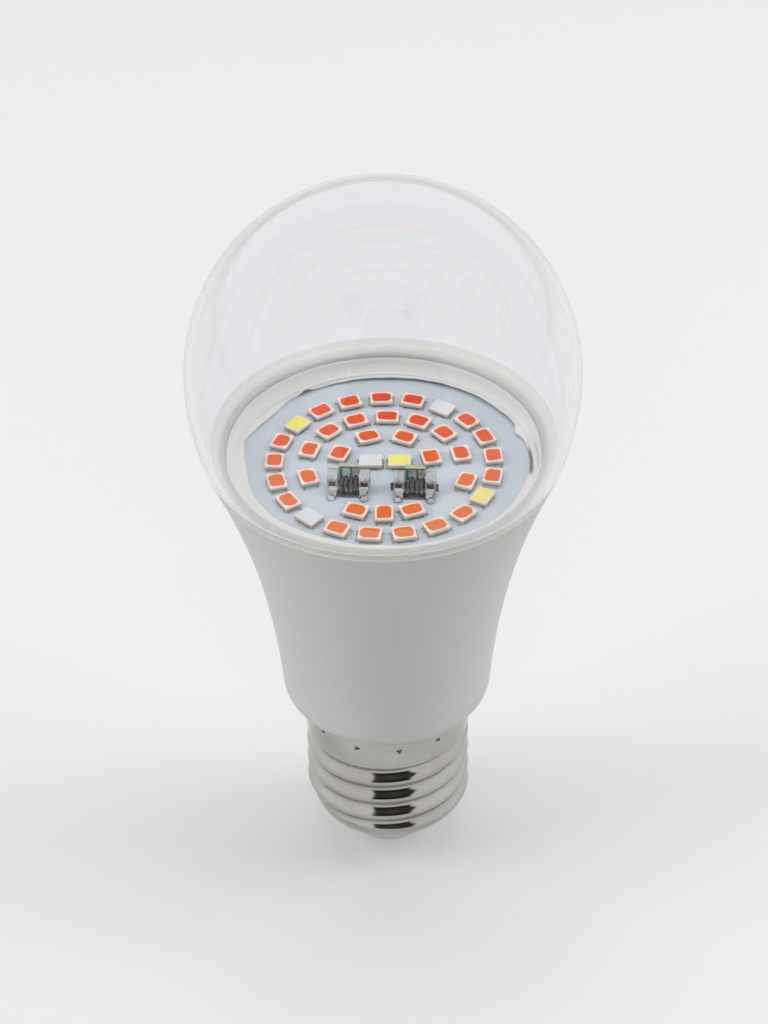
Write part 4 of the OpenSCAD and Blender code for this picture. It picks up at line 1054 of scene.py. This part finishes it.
def side_block(s, chance):
    """One side of a clip: folded sheet over the top, cheeks, window rails, an inner spring
    and the sloping foot. s is -1 on the left and 1 on the right."""
    x = s * BLOCK_X
    top = rounded([(0.8, 0.1, 0), (0.8, 2.9, 0.5), (0.4, 3.25, 0.3), (-0.6, 3.22, 0.35), (-1.15, 2.75, 0.35),
                   (-1.28, 2.15, 0)])
    rail = rounded([(-1.2, 2.3, 0), (-1.36, 1.6, 0.3), (-1.28, 0.95, 0)])
    parts = [bent_strip(top, BLOCK_HALF, x)]
    for cheek in (-CHEEK_X, CHEEK_X):
        parts.append(bent_strip([(0.6, 0.6), (0.6, 2.9)], 0.06, x + cheek, 0.5, (0.5, 0.1)))
        parts.append(bent_strip([(0.3, 2.95), (-0.85, 2.8)], 0.06, x + cheek, 0.6, 0.1))
        parts.append(bent_strip(rail, 0.13, x + cheek * 0.88, 0.24, (0.0, 0.2)))
    parts.append(bent_strip([(-0.65, 0.4), (-0.6, 2.4)], 0.72, x, 0.14, 0.93))
    spring = rounded([(0.4, 0.4, 0), (0.35, 1.6, 0.4), (-0.45, 2.05, 0.4), (-0.95, 1.5, 0.3),
                      (-0.75, 0.95, 0)])
    parts.append(bent_strip(spring, 0.36, x, 0.14, 0.7))
    foot = rounded([(-1.26, 1.15, 0), (-1.45, 0.95, 0.15), (-2.0, 0.62, 0.3), (-2.5, 0.22, 0)])
    parts.append(bent_strip(foot, (0.84, 0.44), (x - s * 0.05, x - s * 0.2), 0.28, (0.0, 0.25)))
    tab = rounded([(-0.95, 3.1, 0), (-1.4, 2.75, 0.2), (-1.5, 2.4, 0)])
    parts.append(bent_strip(tab, 0.3, x + s * chance.uniform(-0.25, 0.25), 0.14, (0.0, 0.45)))
    return parts


def comb(chance):
    """The springs between the side blocks: four thin fingers that rise from the bar in front
    and bend back to press on the tongue's pads."""
    parts = []
    for x in (-1.12, -0.42, 0.4, 1.1):
        reach = chance.uniform(-0.12, 0.12)
        line = rounded([(-1.45, 0.2, 0), (-1.7 + reach, 0.7, 0.3), (-1.05, 1.25 + reach, 0.3),
                        (-0.2, 1.75, 0.2), (-0.45, 2.1 + reach, 0)])
        parts.append(bent_strip(line, (0.3, 0.26), x, 0.13, (0.97, 0.72)))
        tip = [(-1.68 + reach, 0.55), (-1.5, 0.95 + reach)]
        parts.append(bent_strip(tip, 0.07, x + chance.uniform(-0.15, 0.15), 0.26, 0.1))
    parts.append(bent_strip([(-0.35, 0.35), (-0.32, 1.5)], 1.55, 0.0, 0.1, 0.97))
    parts.append(bent_strip([(-1.1, 0.2), (-2.35, 0.2)], (3.0, 2.6), 0.0, 0.22, (0.95, 0.6)))
    return parts


def clip_parts(side):
    """All strips of one clip. The right one also has a small dark wing at each side."""
    chance = np.random.default_rng(len(side) + 3)
    parts = side_block(-1, chance) + side_block(1, chance) + comb(chance)
    if side == "right":
        for s in (-1, 1):
            wing = rounded([(-1.0, 0.65, 0), (-1.3, 1.3, 0.3), (-1.1, 2.0, 0)])
            parts.append(bent_strip(wing, 0.24, s * 3.42, 0.3, 0.95))
    lifted = [(p + np.array([0, 0, BOARD_Z]), f) for p, f, dark in parts]
    return gathered(lifted), np.concatenate([dark for p, f, dark in parts])


# %% Make the clips and their solder
DROPS = [(2.5, -2.75, 0.74, 0.0), (2.5, 2.5, 0.6, 0.0), (2.15, -2.2, 0.3, 0.7)]
# The strips' dark numbers paint shade, most of all on the parts deep inside each clip.
for side, place in CLIP_PLACES.items():
    (points, faces), dark = clip_parts(side)
    x, y, z = points.T
    mottle = 0.22 * np.clip(np.sin(x * 9 + 2 * np.sin(z * 7)) * np.sin(z * 11), 0, 1)
    add_piece(f"{side}_clip", placed_at(points, place), faces, "spring_sheet", "tinned",
              [f"{side}_board_clip"], shade=np.clip(dark + mottle, 0, 1))
drops = [(solder_drop(s * x, y, r, dark), place) for place in CLIP_PLACES.values() for s in (-1, 1)
         for x, y, r, dark in DROPS]
points, faces = gathered([(placed_at(p, place), f) for (p, f, dark), place in drops])
add_piece("clip_drops", points, faces, "solder", "solder", ["clip_solder"], sharp=50,
          shade=np.concatenate([dark for (p, f, dark), place in drops]))

# %% [markdown]
# ## The driver's board
#
# The board is glass fibre with a green mask on both faces, and where it was sawn its pale
# edge shows, most of all on top of the two tongues. So it is a core with two thin skins,
# all from one outline.

# %% Cut the driver's board
TONGUE_X, TONGUE_HALF, BACK_Y, FRONT_Y, SKIN = 5.05, 1.5, -4.35, -5.35, 0.06
TAIL_X, ARM_X, WIDE_X, CHAMFER = 7.85, 9.81, 11.81, 2.0
TAIL_Z, STEP_Z, ARM_Z, TONGUE_Z = 14.24, 38.0, 67.5, 76.2


def half_outline():
    """The right half of the board's outline from the bottom up, as (x, z) points."""
    out, inside = TONGUE_X + TONGUE_HALF, TONGUE_X - TONGUE_HALF
    return [(TAIL_X, TAIL_Z), (TAIL_X, STEP_Z), (ARM_X, STEP_Z), (WIDE_X, STEP_Z + CHAMFER),
            (WIDE_X, ARM_Z - CHAMFER), (ARM_X, ARM_Z), (out, ARM_Z), (out, TONGUE_Z),
            (inside, TONGUE_Z), (inside, ARM_Z)]


def board_slab(low_y, high_y):
    """The outline as a slab between two planes. Each plane is one many-sided face, and the
    edge is a strip of quads."""
    right = np.array(half_outline())
    outline = np.concatenate([right, right[::-1] * [-1, 1]])
    count = len(outline)
    points = np.concatenate([np.insert(outline, 1, y, axis=1) for y in (low_y, high_y)])
    points = placed_at(points, (0, 0, DRIVER_TURN))
    sides = [[k, (k + 1) % count, (k + 1) % count + count, k + count] for k in range(count)]
    return points, [list(range(count))[::-1], list(range(count, 2 * count))] + sides


core = board_slab(FRONT_Y + SKIN, BACK_Y - SKIN)
add_piece("driver_laminate", *core, "laminate", "board_green", ["driver_board"], sharp=30)
skins = [board_slab(FRONT_Y, FRONT_Y + SKIN), board_slab(BACK_Y - SKIN, BACK_Y)]
add_piece("driver_mask", *gathered(skins), "green_mask", "board_green", sharp=30)

# %% [markdown]
# ## Solids that keep their shape
#
# The other solids are right as they are: the light board, the cup that carries it, the
# driver's parts and the wires. They keep their meshes and get the finish of the real piece.

# %% Finishes for the solids that stay
WEARS = {
    "board_mask": ["light_board"], "cup_sheet": ["heat_sink_cup"],
    "tinned": ["tab_contacts", "surface_leads", "through_leads", "neutral_wire"],
    "solder": ["driver_solder", "contact_solder"],
    "moulding_black": ["bridge_rectifier", "driver_chip", "flyback_diode"],
    "chip_black": ["chip_resistors"], "chip_tan": ["chip_capacitors"],
    "drawn_can": ["input_capacitor", "output_capacitor"],
    "shrunk_sleeve": ["input_capacitor_sleeve", "output_capacitor_sleeve"],
    "ferrite": ["choke_core"], "magnet_wire": ["choke_winding"], "film_body": ["film_capacitor"],
    "resistor_body": ["fuse_resistor"], "wire_cover": ["live_wire"]}
for name, members in WEARS.items():
    for member in members:
        for place in nodes[member].material_slots:
            place.material = finishes[name]
print("solids with a finish:", sum(len(m) for m in WEARS.values()))
